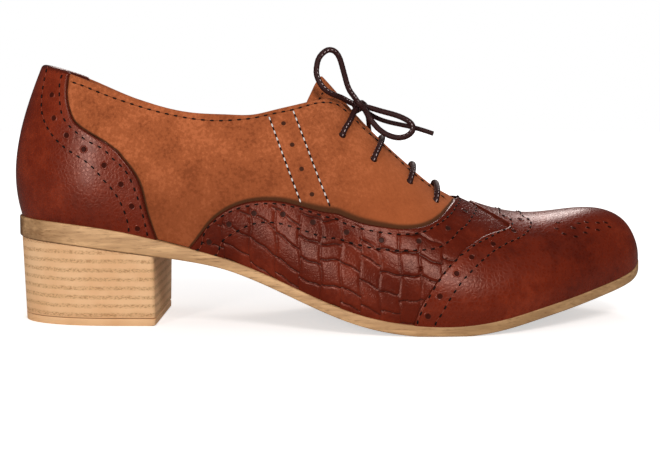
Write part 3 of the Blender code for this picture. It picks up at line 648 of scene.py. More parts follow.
def make_floor():
    """A matt white floor that the camera sees fade into the backdrop."""
    build = bmesh.new()
    bmesh.ops.create_circle(build, cap_ends=True, segments=96, radius=FLOOR_RADIUS)
    mesh = bpy.data.meshes.new("floor")
    build.to_mesh(mesh)
    build.free()
    floor = bpy.data.objects.new("floor", mesh)
    bpy.context.scene.collection.objects.link(floor)
    material, tree = new_material("pale_floor")
    distance = node(
        tree, "ShaderNodeVectorMath", {0: object_place(tree)}, operation="LENGTH")
    fade = node(tree, "ShaderNodeMapRange", {
        "Value": distance.outputs["Value"], "From Min": FLOOR_FADE[0], "From Max": FLOOR_FADE[1],
        "To Min": FLOOR_LIFT, "To Max": 1.0})
    path = node(tree, "ShaderNodeLightPath")
    finish_material(material, {
        "Base Color": mix_colour(
            tree, path.outputs["Is Glossy Ray"], FLOOR_WHITE, FLOOR_MIRRORED),
        "Roughness": 1.0,
        "Specular IOR Level": 0.0,
        "Emission Color": (1, 1, 1, 1),
        "Emission Strength": times(tree, fade.outputs[0], path.outputs["Is Camera Ray"]),
    })
    mesh.materials.append(material)


# Node helpers


MIX_FIRST = 6
MIX_SECOND = 7
MIX_RESULT = 2


def set_inputs(tree, made, inputs):
    """Give a node its inputs, each one a value or another node's output."""
    for key, value in inputs.items():
        if isinstance(value, bpy.types.NodeSocket):
            tree.links.new(value, made.inputs[key])
        else:
            made.inputs[key].default_value = value


def node(tree, kind, inputs=None, **settings):
    """One shader node with its settings and its inputs."""
    made = tree.nodes.new(kind)
    for key, value in settings.items():
        setattr(made, key, value)
    set_inputs(tree, made, inputs or {})
    return made


def math_node(tree, operation, first, second=0.0, third=0.0):
    """The result of one sum."""
    return node(
        tree, "ShaderNodeMath", {0: first, 1: second, 2: third}, operation=operation
    ).outputs[0]


def mix_colour(tree, share, first, second):
    """A colour that is a share of the way from the first one to the second."""
    return node(
        tree, "ShaderNodeMix", {"Factor": share, MIX_FIRST: first, MIX_SECOND: second},
        data_type="RGBA").outputs[MIX_RESULT]


def times(tree, first, second):
    """The product of two values."""
    return math_node(tree, "MULTIPLY", first, second)


def object_place(tree):
    """Each point's place in the row's frame."""
    return node(tree, "ShaderNodeTexCoord").outputs["Object"]


def direction(tree, place, letter):
    """One of a place's three directions, by its letter."""
    return node(tree, "ShaderNodeSeparateXYZ", {0: place}).outputs[letter]


def ramp(tree, share, low, high):
    """0 below low, 1 above high, smooth between."""
    made = node(
        tree, "ShaderNodeMapRange", {"Value": share, "From Min": low, "From Max": high},
        interpolation_type="SMOOTHSTEP")
    return made.outputs["Result"]


def attribute(tree, name):
    """A value kept at the mesh's points."""
    return node(tree, "ShaderNodeAttribute", attribute_name=name).outputs["Fac"]


def noise(tree, place, scale, detail=3.0, roughness=0.55):
    """Soft noise from 0 to 1."""
    return node(tree, "ShaderNodeTexNoise", {
        "Vector": place, "Scale": scale, "Detail": detail, "Roughness": roughness,
    }).outputs["Fac"]


def new_group(name, inputs, outputs):
    """A node group with its named sockets and their kinds."""
    group = bpy.data.node_groups.new(name, "ShaderNodeTree")
    for way, sockets in (("INPUT", inputs), ("OUTPUT", outputs)):
        for title, kind in sockets:
            group.interface.new_socket(name=title, in_out=way, socket_type=kind)
    group.nodes.new("NodeGroupInput")
    group.nodes.new("NodeGroupOutput")
    return group


def group_ends(group):
    """What a group is given, and what it puts out."""
    return group.nodes["Group Input"].outputs, group.nodes["Group Output"].inputs


def use_group(tree, name, inputs):
    """A node that uses one of the groups."""
    return node(tree, "ShaderNodeGroup", inputs, node_tree=bpy.data.node_groups[name])


FLOAT = "NodeSocketFloat"
COLOUR = "NodeSocketColor"


def make_clouds_group():
    """Uneven dye: soft clouds of a light and a dark tone around the middle one."""
    group = new_group(
        "uneven_dye",
        (("Dark", COLOUR), ("Middle", COLOUR), ("Light", COLOUR),
         ("Cloud Scale", FLOAT), ("Fleck Scale", FLOAT), ("Fleck", FLOAT)),
        (("Color", COLOUR),))
    given, made = group_ends(group)
    place = object_place(group)
    clouds = noise(group, place, given["Cloud Scale"], 4.0, 0.6)
    flecks = noise(group, place, given["Fleck Scale"], 3.0, 0.6)
    fleck_part = times(group, math_node(group, "SUBTRACT", flecks, 0.5), given["Fleck"])
    tone = math_node(group, "ADD", clouds, fleck_part)
    low = mix_colour(group, ramp(group, tone, 0.30, 0.50), given["Dark"], given["Middle"])
    both = mix_colour(group, ramp(group, tone, 0.50, 0.70), low, given["Light"])
    group.links.new(both, made["Color"])


def make_grain_group():
    """Pebbled leather grain: the cells' height and a mask of the creases between them."""
    group = new_group(
        "leather_grain",
        (("Scale", FLOAT), ("Depth", FLOAT), ("Wrinkle", FLOAT)),
        (("Height", FLOAT), ("Crease", FLOAT)))
    given, made = group_ends(group)
    place = object_place(group)
    bend = node(group, "ShaderNodeTexNoise", {"Vector": place, "Scale": 260.0, "Detail": 2.0})
    shift = node(group, "ShaderNodeVectorMath", {0: bend.outputs["Color"], "Scale": 0.0016},
                 operation="SCALE").outputs[0]
    bent = node(group, "ShaderNodeVectorMath", {0: place, 1: shift}, operation="ADD").outputs[0]
    cells = node(group, "ShaderNodeTexVoronoi", {"Vector": bent, "Scale": given["Scale"]},
                 feature="DISTANCE_TO_EDGE").outputs["Distance"]
    rise = ramp(group, cells, 0.0, 0.28)
    fine = noise(group, place, 2600.0, 2.0)
    mixed = math_node(group, "ADD", rise, times(group, fine, given["Wrinkle"]))
    group.links.new(times(group, mixed, given["Depth"]), made["Height"])
    group.links.new(math_node(group, "SUBTRACT", 1.0, rise), made["Crease"])


def make_fold_group():
    """Darkens folded borders as burnish with painted shade along the fold, the punched holes as painted
    shade over the underlay, and the suede beside an overlay's edge as painted shadow.
    """
    group = new_group(
        "burnish_and_painted_shade",
        (("Color", COLOUR), ("Burnish And Shade Color", COLOUR), ("Shaded Underlay Color", COLOUR), ("Edge", FLOAT)),
        (("Color", COLOUR), ("Hole", FLOAT)))
    given, made = group_ends(group)
    rim = ramp(group, attribute(group, "rim"), 0.35, 1.0)
    # Burnish with painted shade at folded borders, and painted shadow where the shade bands lie.
    burnish_and_shade = math_node(
        group, "MAXIMUM", times(group, rim, given["Edge"]), attribute(group, "shade"))
    edged = mix_colour(group, burnish_and_shade, given["Color"], given["Burnish And Shade Color"])
    hole = ramp(group, attribute(group, "punch"), 0.35, 0.8)
    group.links.new(mix_colour(group, hole, edged, given["Shaded Underlay Color"]), made["Color"])
    group.links.new(hole, made["Hole"])


def new_material(name):
    """A material with its node tree."""
    material = bpy.data.materials.new(name)
    material.use_nodes = True
    return material, material.node_tree


def dyed(tree, tones, cloud_scale, fleck_scale, fleck):
    """Uneven dye of a dark, a middle and a light tone."""
    dark, middle, light = (srgb(*tone) for tone in tones)
    return use_group(tree, "uneven_dye", {
        "Dark": dark, "Middle": middle, "Light": light, "Cloud Scale": cloud_scale,
        "Fleck Scale": fleck_scale, "Fleck": fleck}).outputs["Color"]


def burnished_and_shaded(tree, colour, edge, hole, share):
    """A colour with its borders burnished and darkened by painted shade, painted shade in its holes and
    beside overlays, and the mask of the holes.
    """
    made = use_group(tree, "burnish_and_painted_shade", {
        "Color": colour, "Burnish And Shade Color": srgb(*edge), "Shaded Underlay Color": srgb(*hole), "Edge": share})
    return made.outputs["Color"], made.outputs["Hole"]


def finish_material(material, inputs, height=None):
    """Give the material's shader its inputs, and its bump from a height in metres."""
    tree = material.node_tree
    shader = tree.nodes["Principled BSDF"]
    set_inputs(tree, shader, inputs)
    if height is not None:
        bump = node(tree, "ShaderNodeBump", {"Height": height, "Strength": 1.0, "Distance": 1.0})
        tree.links.new(bump.outputs["Normal"], shader.inputs["Normal"])
    return material


LEATHER_SHEEN = (1.0, 0.56, 0.44, 1)


def make_polished_leather():
    """Burgundy box calf of the cap and the counter, burnished darker along its borders, where the
    darkening also paints the shade of the fold.
    """
    material, tree = new_material("polished_burgundy_leather")
    dye = dyed(tree, ((86, 20, 5), (108, 31, 10), (130, 45, 20)), 38.0, 420.0, 0.25)
    grain = use_group(tree, "leather_grain", {"Scale": 560.0, "Depth": 0.000035, "Wrinkle": 0.4})
    # Border colour: burnish with painted shade along the folds; hole colour: the underlay with painted
    # shade.
    colour, hole = burnished_and_shaded(tree, dye, (60, 16, 8), (42, 13, 9), 0.75)
    uneven = times(tree, grain.outputs["Crease"], 0.12)
    rough = math_node(tree, "ADD", math_node(tree, "ADD", times(tree, hole, 0.4), uneven), 0.27)
    return finish_material(material, {
        "Base Color": colour,
        "Roughness": rough,
        "Specular IOR Level": math_node(tree, "MULTIPLY_ADD", hole, -0.5, 0.55),
        "Specular Tint": LEATHER_SHEEN,
        "Coat Weight": math_node(tree, "MULTIPLY_ADD", hole, -0.12, 0.12),
        "Coat Roughness": 0.20,
    }, grain.outputs["Height"])


def make_embossed_leather():
    """Dark leather embossed with blocky scales, darker in its grooves as painted shade."""
    material, tree = new_material("scale_embossed_leather")
    dye = dyed(tree, ((80, 19, 7), (95, 27, 11), (114, 38, 19)), 60.0, 500.0, 0.25)
    # Painted shade: the grooves darkened towards a deep red.
    groove_shaded = mix_colour(
        tree, ramp(tree, attribute(tree, "groove"), 0.25, 0.95), dye, srgb(58, 16, 9))
    # Border colour: burnish with painted shade along the fold; hole colour: the underlay with painted
    # shade.
    colour, hole = burnished_and_shaded(tree, groove_shaded, (60, 17, 9), (48, 15, 9), 0.6)
    grain = use_group(tree, "leather_grain", {"Scale": 900.0, "Depth": 0.00003, "Wrinkle": 0.5})
    return finish_material(material, {
        "Base Color": colour,
        "Roughness": math_node(tree, "MULTIPLY_ADD", hole, 0.4, 0.27),
        "Specular IOR Level": 0.42,
        "Specular Tint": LEATHER_SHEEN,
        "Coat Weight": 0.05,
        "Coat Roughness": 0.20,
    }, grain.outputs["Height"])


def make_suede():
    """Brushed tan suede with a cloudy nap, darker low down as painted shade, and warmer at the facings.
    """
    material, tree = new_material("brushed_tan_suede")
    place = object_place(tree)
    dye = dyed(tree, ((138, 70, 36), (163, 87, 48), (186, 104, 62)), 75.0, 750.0, 0.75)
    # Painted shade: the suede darkens towards the bottom.
    low_shade = ramp(tree, direction(tree, place, "Z"), 0.075, 0.040)
    lower = mix_colour(tree, times(tree, low_shade, 0.55), dye, srgb(122, 58, 27))
    facing = times(tree, ramp(tree, direction(tree, place, "X"), -0.010, 0.030), 0.45)
    deep = mix_colour(tree, facing, lower, srgb(196, 104, 56))
    return finish_material(material, {
        # Border colour: the painted shadow beside the overlays; hole colour: the strip's holes in
        # painted shade.
        "Base Color": burnished_and_shaded(tree, deep, (66, 38, 18), (58, 30, 18), 0.0)[0],
        "Roughness": 0.92,
        "Specular IOR Level": 0.2,
        "Sheen Weight": 0.25,
        "Sheen Roughness": 0.5,
        "Sheen Tint": srgb(220, 150, 105),
    }, times(tree, noise(tree, place, 1400.0, 4.0, 0.7), 0.00016))


def make_lining_leather(name, light, middle, dark):
    """Smooth undyed lining leather with fine pores."""
    material, tree = new_material(name)
    grain = use_group(tree, "leather_grain", {"Scale": 1200.0, "Depth": 0.00003, "Wrinkle": 0.8})
    return finish_material(material, {
        "Base Color": dyed(tree, (dark, middle, light), 40.0, 500.0, 0.3),
        "Roughness": 0.6,
    }, grain.outputs["Height"])


def make_sole_leather():
    """Sole leather whose dressed edge shows long fibres, burnished at the heel's seat."""
    material, tree = new_material("dressed_sole_leather")
    place = object_place(tree)
    drawn = node(tree, "ShaderNodeMapping", {0: place, "Scale": (0.10, 0.35, 1.0)}).outputs[0]
    fibres = noise(tree, drawn, 1500.0, 5.0, 0.65)
    bands = noise(tree, drawn, 420.0, 3.0, 0.6)
    tone = mix_colour(tree, ramp(tree, bands, 0.35, 0.70), srgb(188, 146, 100), srgb(226, 182, 130))
    lines = mix_colour(tree, ramp(tree, fibres, 0.50, 0.72), tone, srgb(150, 110, 68))
    along = direction(tree, place, "X")
    seat = ramp(tree, along, -0.100, -0.132)
    seat_mask = times(tree, seat, ramp(tree, noise(tree, place, 90.0), 0.20, 0.60))
    burnished = mix_colour(tree, seat_mask, lines, srgb(112, 74, 34))
    ball = times(tree, ramp(tree, along, 0.020, 0.060), 0.45)
    return finish_material(material, {
        "Base Color": mix_colour(tree, ball, burnished, srgb(132, 98, 56)),
        "Roughness": 0.55,
    }, times(tree, fibres, 0.00010))


STACK_PITCH = 0.0037
STACK_WOBBLE = 0.0011


def make_stacked_leather(name, layered):
    """Light leather lifts, the joints between them speckled darker."""
    material, tree = new_material(name)
    place = object_place(tree)
    uneven = math_node(tree, "SUBTRACT", noise(tree, place, 120.0, 3.0), 0.5)
    high = math_node(tree, "ADD", direction(tree, place, "Z"), times(tree, uneven, STACK_WOBBLE))
    turn = times(tree, high, 2 * math.pi / STACK_PITCH)
    layer = ramp(tree, math_node(tree, "SINE", turn), -0.35, 0.95)
    drawn = node(tree, "ShaderNodeMapping", {0: place, "Scale": (0.45, 0.45, 1.0)}).outputs[0]
    speckle = ramp(tree, noise(tree, drawn, 2100.0, 2.0, 0.7), 0.46, 0.60)
    base = mix_colour(tree, ramp(tree, noise(tree, place, 60.0), 0.3, 0.7),
                      srgb(230, 182, 132), srgb(240, 198, 150))
    amount = times(tree, times(tree, layer, speckle), layered)
    striped = mix_colour(tree, amount, base, srgb(190, 144, 96))
    under = times(tree, layer, 0.22 * layered)
    return finish_material(material, {
        "Base Color": mix_colour(tree, under, striped, srgb(186, 140, 92)),
        "Roughness": 0.6,
    }, times(tree, speckle, 0.00003))


FLECK_PATCHES = 95.0  # noise scale of the runs of pale flecks on the lace


def make_cord_material():
    """Waxed braid, its strands slightly uneven and darkened between them as painted shade, with pale
    flecks woven in, kept to the faces turned up and forward, where they also stand as painted
    highlights.
    """
    material, tree = new_material("braided_lace")
    place = object_place(tree)
    tone = mix_colour(tree, noise(tree, place, 900.0), srgb(38, 16, 16), srgb(74, 36, 34))
    # Painted shade: dark where the strands dip between each other.
    strand = mix_colour(
        tree, ramp(tree, attribute(tree, "strand"), 0.15, 0.75), srgb(26, 10, 10), tone)
    patches = ramp(tree, noise(tree, place, FLECK_PATCHES, 0.0), 0.40, 0.62)
    # The fleck attribute is kept to the lit crests, so the pale flecks are partly painted highlights.
    flecks = times(tree, ramp(tree, attribute(tree, "fleck"), 0.35, 0.75), patches)
    return finish_material(material, {
        "Base Color": mix_colour(tree, flecks, strand, srgb(206, 188, 188)),
        "Roughness": 0.6,
        "Specular IOR Level": 0.25,
    })


def make_thread_material(name, colour):
    """Twisted sewing thread."""
    material, tree = new_material(name)
    twist = noise(tree, object_place(tree), 3200.0, 1.0)
    shaded = (*(0.5 * share for share in colour[:3]), 1)
    return finish_material(material, {
        "Base Color": mix_colour(tree, times(tree, twist, 0.5), colour, shaded),
        "Roughness": 0.55,
        "Specular IOR Level": 0.2,
    }, times(tree, twist, 0.00004))


# Fine surfaces


THROAT_X = (THROAT_AT - 0.5) * LENGTH
TOE_NORMAL = (0.97, 0.0, 0.24)


def is_seam(around, up):
    """True where the two sides of the shoe meet: at the back seam, the toe and the ridge."""
    closed = np.interp(around, PLACES, FEATHER_X) >= THROAT_X
    return (around <= 0) | (around >= 2) | ((up >= 1) & closed)


def seamed_normal(around, up, side):
    """Unit normals out of the shoe, upright where the sides meet."""
    around, up = np.broadcast_arrays(np.asarray(around, float), np.asarray(up, float))
    normal = outward(around, up, side)
    seam = is_seam(around, up)
    if seam.any():
        both = normal[seam] + outward(around[seam], up[seam], -side)
        both[:, 1] = 0
        both[around[seam] >= 2] = TOE_NORMAL
        normal[seam] = both
    return unit(normal)


# Soft creases: round and up of both ends, half width and depth.
CREASES = (
    (1.470, 0.26, 1.525, 0.80, 0.0034, 0.00035), (1.435, 0.20, 1.462, 0.50, 0.0030, 0.00025),
    (1.150, 0.56, 1.300, 0.64, 0.0060, 0.00040), (1.200, 0.84, 1.330, 0.72, 0.0065, 0.00035),
    (1.020, 0.40, 1.080, 0.62, 0.0060, 0.00030), (1.630, 0.22, 1.690, 0.58, 0.0042, 0.00030),
)


def creased(around, up):
    """Depth of the soft troughs at places of the leather."""
    depth = np.zeros(np.broadcast(around, up).shape)
    for first_round, first_up, last_round, last_up, width, deep in CREASES:
        across = (around - first_round) * TIP
        high = (up - first_up) * RIB_HEIGHT
        run = ((last_round - first_round) * TIP, (last_up - first_up) * RIB_HEIGHT)
        length = math.hypot(*run)
        share = (across * run[0] + high * run[1]) / length ** 2
        aside = (across * run[1] - high * run[0]) / length
        taper = np.cos(np.clip(share - 0.5, -0.5, 0.5) * math.pi) ** 2
        depth = depth + deep * taper * np.exp(-(aside / width) ** 2)
    return depth


def lifted(around, up, side, lift):
    """Points over the last's surface, raised along its normals."""
    lift = np.asarray(lift, float) - creased(around, up)
    return last_surface(around, up, side) + seamed_normal(around, up, side) * lift[..., None]


def crowded(count, length, ends=(False, True)):
    """Shares from 0 to 1 in even steps, with finer steps by the borders that are folded."""
    close = np.array(FOLD_STEPS) * FOLD / length
    start = close if ends[0] else np.array([0.0])
    finish = 1 - close[::-1] if ends[1] else np.array([1.0])
    inside = np.linspace(start[-1], finish[0], count)[1:-1]
    return np.concatenate([start, inside, finish])


def distance_to(points, line):
    """Distance from each point to the nearest point of a dense line."""
    flat = points.reshape(-1, 3)
    found = np.empty(len(flat))
    for start in range(0, len(flat), BLOCK):
        gap = flat[start:start + BLOCK][:, None, :] - line[None, :, :]
        found[start:start + BLOCK] = np.sqrt((gap ** 2).sum(-1).min(1))
    return found.reshape(points.shape[:-1])


def folded(distance, height):
    """Lift of a folded edge's outer face at a distance from its border."""
    rest = np.clip(1 - distance / FOLD, 0, 1)
    return (height + FOLD_DIP) * np.sqrt(np.clip(1 - rest ** 2, 0, 1)) - FOLD_DIP


class Sheet:
    """A mesh that is put together from grids of points, with values kept at its points."""

    def __init__(self):
        """Start with nothing."""
        self.points = []
        self.faces = []
        self.slots = []
        self.values = {}
        self.count = 0

    def add(self, grid, side, values=None, slot=0, flip=False, keep=None):
        """Add one grid; it faces out of the shoe's outer side, or the inner one for side 1."""
        rows, columns = grid.shape[:2]
        index = np.arange(rows * columns).reshape(rows, columns) + self.count
        quads = np.stack([index[:-1, :-1], index[1:, :-1], index[1:, 1:], index[:-1, 1:]], -1)
        if keep is not None:
            quads = quads[keep]
        quads = quads.reshape(-1, 4)
        if (side > 0) != flip:
            quads = quads[:, ::-1]
        self.points.append(grid.reshape(-1, 3))
        self.faces.append(quads)
        self.slots.append(np.full(len(quads), slot))
        for name in set(self.values) | set(values or {}):
            given = (values or {}).get(name)
            flat = np.zeros(rows * columns) if given is None else np.broadcast_to(
                given, (rows, columns)).reshape(-1)
            known = self.values.setdefault(name, [])
            missing = self.count - sum(len(each) for each in known)
            if missing:
                known.append(np.zeros(missing))
            known.append(flat)
        self.count += rows * columns

    def piece(self, name, materials, replaces=(), merge=True, angle=50):
        """Make the object, sharp where faces meet at more than an angle in degrees."""
        points = np.concatenate(self.points)
        faces = np.concatenate(self.faces)
        mesh = bpy.data.meshes.new(name)
        mesh.from_pydata(points.tolist(), [], faces.tolist())
        for material in materials:
            mesh.materials.append(material)
        mesh.polygons.foreach_set("material_index", np.concatenate(self.slots).astype(np.int32))
        for title, parts in self.values.items():
            flat = np.concatenate(parts)
            layer = mesh.attributes.new(title, "FLOAT", "POINT")
            layer.data.foreach_set("value", flat.astype(np.float32))
        if merge:
            build = bmesh.new()
            build.from_mesh(mesh)
            bmesh.ops.remove_doubles(build, verts=build.verts, dist=MERGE)
            bmesh.ops.dissolve_degenerate(build, edges=build.edges, dist=MERGE / 10)
            build.to_mesh(mesh)
            build.free()
        mesh.shade_smooth()
        mesh.set_sharp_from_angle(angle=math.radians(angle))
        made = bpy.data.objects.new(name, mesh)
        bpy.context.scene.collection.objects.link(made)
        settle(made, replaces)
        return made


def settle(made, replaces=()):
    """Put a piece on its body and in place of the solids it stands for."""
    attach(made, "root")
    if replaces:
        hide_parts(*replaces)


def edge_curve(table, places):
    """A table's smooth curve through its two columns at places in the first."""
    table = np.array(table)
    return spline(table[:, 0], table[:, 1], places)


def leather_runs(around, up):
    """Distance along a line of round and up on the leather at each of its points."""
    steps = np.hypot(np.diff(around) * TIP, np.diff(up) * RIB_HEIGHT)
    return np.concatenate([[0], np.cumsum(steps)])


def places_around(heel, middle, toe):
    """Places round the last, with a number of points in its heel, middle and toe."""
    return np.concatenate([
        np.linspace(0, 1, heel)[:-1], np.linspace(1, 1.70, middle)[:-1], np.linspace(1.70, 2, toe)])


def along_table(table, count):
    """Evenly spaced points of round and up along a table's smooth curve."""
    table = np.array(table)
    runs = leather_runs(table[:, 0], table[:, 1])
    at = np.linspace(0, runs[-1], count)
    return spline(runs, table[:, 0], at), spline(runs, table[:, 1], at)


def rib_top(around, side):
    """The ribs' top points, and those just below them."""
    whole = np.ones_like(around)
    return last_surface(around, whole, side), last_surface(around, whole - NEARBY, side)


def roll_rows(around, side, outside, inside, rise, reach, steps):
    """Rows of points round the collar's edge, from the leather's outer face to its inner one."""
    outside, inside, rise = (each + np.zeros(len(around)) for each in (outside, inside, rise))
    radius = (outside - inside) / 2
    top, below = rib_top(around, side)
    upward = unit(top - below)
    normal = seamed_normal(around, np.ones_like(around), side)
    middle = (outside + inside) / 2
    centre = top + upward * (rise - radius * reach)[:, None] + normal * middle[:, None]
    turn = np.linspace(0, math.pi, steps)
    across = normal[:, None] * (radius[:, None] * np.cos(turn))[..., None]
    over = upward[:, None] * ((radius * reach)[:, None] * np.sin(turn))[..., None]
    return centre[:, None] + across + over


def roll_start(around, side, radius, rise, reach):
    """How far up each rib the outer face goes before the edge rolls over."""
    top, below = rib_top(around, side)
    run = np.linalg.norm(top - below, axis=-1) / NEARBY
    return 1 + (rise - radius * reach) / run


def throat_opening(around):
    """1 where the two sides stand apart, falling to 0 where the throat closes."""
    short = (THROAT_X - np.interp(around, PLACES, FEATHER_X)) / CORNER_RUN
    return np.sqrt(np.clip(short, 0, 1))


def rib_lengths(around, side):
    """Length of each rib from the feather line to its top."""
    places = PLACES[::6]
    line = last_surface(places[:, None], np.linspace(0, 1, 24)[None, :], side)
    runs = np.linalg.norm(np.diff(line, axis=1), axis=-1).sum(1)
    return np.interp(around, places, runs)


def vamp_line(side, count):
    """Round and up along the vamp's upper edge, without the jog of the ribs at the collar's end."""
    around, up = along_table(VAMP_EDGE[1:], count)
    lengths = rib_lengths(around, side)
    heights = up * lengths
    reach = max(1, int(count * EDGE_SMOOTHING))
    window = np.hanning(2 * reach + 3)[1:-1]
    padded = np.concatenate([
        2 * heights[0] - heights[reach:0:-1], heights, 2 * heights[-1] - heights[-2:-reach - 2:-1]])
    soft = np.convolve(padded, window / window.sum(), mode="valid")
    first, last = SMOOTHED_PART
    blend = np.clip(np.minimum(around - first, last - around) / SMOOTHED_BLEND, 0, 1)
    return around, (heights + blend * (soft - heights)) / lengths


def make_upper(suede, lining):
    """Suede quarters over their lining, rolled over at the collar and the facings."""
    around = places_around(46, 200, 40)
    reach = throat_opening(around)
    open_part = reach > 0
    keep = np.repeat((open_part[:-1] | open_part[1:])[:, None], ROLL_STEPS - 1, axis=1)
    sheet = Sheet()
    for side in (-1, 1):
        start = roll_start(around, side, WALL / 2, 0, reach)
        ups = np.linspace(0, 1, 58)[None, :] * start[:, None]
        roll = roll_rows(around, side, 0, -WALL, 0, reach, ROLL_STEPS)
        outer = lifted(around[:, None], ups, side, 0)
        inner = lifted(around[:, None], ups[:, ::-1], side, -WALL)
        outer[:, -1] = roll[:, 0]
        inner[:, 0] = roll[:, -1]
        sheet.add(outer, side)
        sheet.add(roll, side, keep=keep)
        sheet.add(inner, side, slot=1)
        sheet.add(np.stack([inner[:, -1], outer[:, 0]], axis=1), side, slot=1)
    punch_eyelets(sheet.piece("fine_upper", (suede, lining), ("upper",)))


def punch_eyelets(upper):
    """Cut the eight eyelets out of the facings."""
    build = bmesh.new()
    for around, up, _ in EYELETS:
        for side in (-1, 1):
            centre = Vector(last_surface(around, up, side))
            axis = Vector(outward(around, up, side))
            turn = axis.to_track_quat("Z", "Y").to_matrix().to_4x4()
            turn.translation = centre
            bmesh.ops.create_cone(build, cap_ends=True, segments=28, radius1=EYELET / 2,
                                  radius2=EYELET / 2, depth=PUNCH_DEPTH, matrix=turn)
    mesh = bpy.data.meshes.new("eyelet_punches")
    build.to_mesh(mesh)
    build.free()
    cutter = bpy.data.objects.new("eyelet_punches", mesh)
    bpy.context.scene.collection.objects.link(cutter)
    boolean = upper.modifiers.new("eyelets", "BOOLEAN")
    boolean.operation = "DIFFERENCE"
    boolean.solver = "EXACT"
    boolean.object = cutter
    view = bpy.context.evaluated_depsgraph_get()
    cut = bpy.data.meshes.new_from_object(upper.evaluated_get(view))
    upper.modifiers.clear()
    upper.data = cut
    bpy.data.objects.remove(cutter, do_unlink=True)


def make_counter(leather):
    """Heel counter: folded front edge, its top turned over the collar."""
    shares = crowded(96, COUNTER_LENGTH)
    whole = np.ones_like(shares)
    line_ups = np.linspace(0, 1, 320)
    top_around = shares * edge_curve(COUNTER_EDGE, np.array([1.0]))[0]
    sheet = Sheet()
    for side in (-1, 1):
        border = last_surface(edge_curve(COUNTER_EDGE, line_ups), line_ups, side)
        near_top = distance_to(last_surface(top_around, whole, side), border)
        outside = folded(near_top, PANEL_TOP)
        inside = -WALL - folded(near_top, GAP)
        rise = folded(near_top, COUNTER_WRAP)
        roll = roll_rows(top_around, side, outside, inside, rise, whole, 11)
        start = roll_start(top_around, side, (outside - inside) / 2, rise, whole)
        ups = np.linspace(0, 1, 84)[None, :] * start[:, None]
        around = shares[:, None] * edge_curve(COUNTER_EDGE, ups.ravel()).reshape(ups.shape)
        far = distance_to(last_surface(around, ups, side), border)
        face = lifted(around, ups, side, folded(far, PANEL_TOP))
        face[:, -1] = roll[:, 0]
        # Border and rolled top darkened: burnish with painted shade along the fold.
        sheet.add(face, side, {"rim": np.exp(-(far / COUNTER_RIM) ** 2)})
        sheet.add(roll, side, {"rim": 0.8 + 0 * roll[..., 0]})
    sheet.piece("fine_heel_counter", (leather,), ("heel_counter",))


def scale_pattern(along, upward, side):
    """Grooves and rounded borders of blocky scales that stand in columns of uneven height."""
    random = np.random.default_rng(SCALE_SEED + side)
    starts = random.uniform(0, 1, SCALE_DRAWS)
    stretch = random.uniform(*SCALE_STRETCH, SCALE_DRAWS)
    lean = random.uniform(-SCALE_LEAN, SCALE_LEAN, SCALE_DRAWS)
    shifts = random.uniform(-SCALE_SHIFT, SCALE_SHIFT, (SCALE_DRAWS, SCALE_DRAWS))
    wander = COLUMN_WANDER[0] * np.sin(upward * COLUMN_WANDER[1] + along * COLUMN_WANDER[2])
    across = along / SCALE_SIZE[0] + wander + COLUMN_SWAY[0] * np.sin(along * COLUMN_SWAY[1])
    column = np.floor(across).astype(int) % SCALE_DRAWS
    share = across - np.floor(across)
    rows = upward / SCALE_SIZE[1] * stretch[column] + starts[column]
    rows = rows + lean[column] * (share - 0.5) + ROW_SWAY[0] * np.sin(along * ROW_SWAY[1])
    row = np.floor(rows).astype(int)

    def row_border(number):
        """Where a row's lower border lies in each point's column."""
        return number + shifts[column, number % SCALE_DRAWS]

    low, high = row_border(row), row_border(row + 1)
    below, above = rows < low, rows > high
    low, high = (
        np.where(below, row_border(row - 1), np.where(above, high, low)),
        np.where(below, low, np.where(above, row_border(row + 2), high)))
    row_far = np.minimum(rows - low, high - rows) * SCALE_SIZE[1]
    column_far = np.minimum(share, 1 - share) * SCALE_SIZE[0]
    groove = np.maximum(np.exp(-(row_far / ROW_GROOVE) ** 2),
                        COLUMN_DEPTH * np.exp(-(column_far / COLUMN_GROOVE) ** 2))
    near = np.exp(-row_far / CORNER_BLEND) + 0.5 * np.exp(-column_far / CORNER_BLEND)
    edge = 1 - np.clip(-CORNER_BLEND * np.log(near) / SCALE_ROUNDING, 0, 1)
    return groove, edge * edge


def vamp_patch(side, columns, heights):
    """Round and up over the vamp's panel, even between its four borders, and its upper border."""
    shares = np.linspace(0, 1, columns)
    edge_around, edge_up = vamp_line(side, 420)
    cap_feet, cap_ridge = edge_curve(CAP_EDGE, np.array([0.0, 1.0]))
    ridge = np.linspace(edge_around[-1], cap_ridge, 24)[1:]
    top_around = np.concatenate([edge_around, ridge])
    top_up = np.concatenate([edge_up, np.ones(len(ridge))])
    runs = leather_runs(top_around, top_up)
    at = shares * runs[-1]
    top = np.stack([np.interp(at, runs, top_around), np.interp(at, runs, top_up)], -1)
    first = np.array([edge_around[0], 0.0])
    bottom = np.stack([first[0] + shares * (cap_feet - first[0]), 0 * shares], -1)
    front = np.stack([edge_curve(CAP_EDGE, heights), heights], -1)
    s, t = shares[:, None, None], heights[None, :, None]
    patch = (1 - t) * bottom[:, None] + t * top[:, None] + (1 - s) * first + s * front[None]
    patch -= (1 - s) * first + s * (1 - t) * bottom[-1] + s * t * top[-1]
    around = patch[..., 0] + shares[:, None] ** 40 * TUCKED_FRONT
    border = last_surface(edge_around, edge_up, side)
    return around, np.clip(patch[..., 1], 0, 1), border


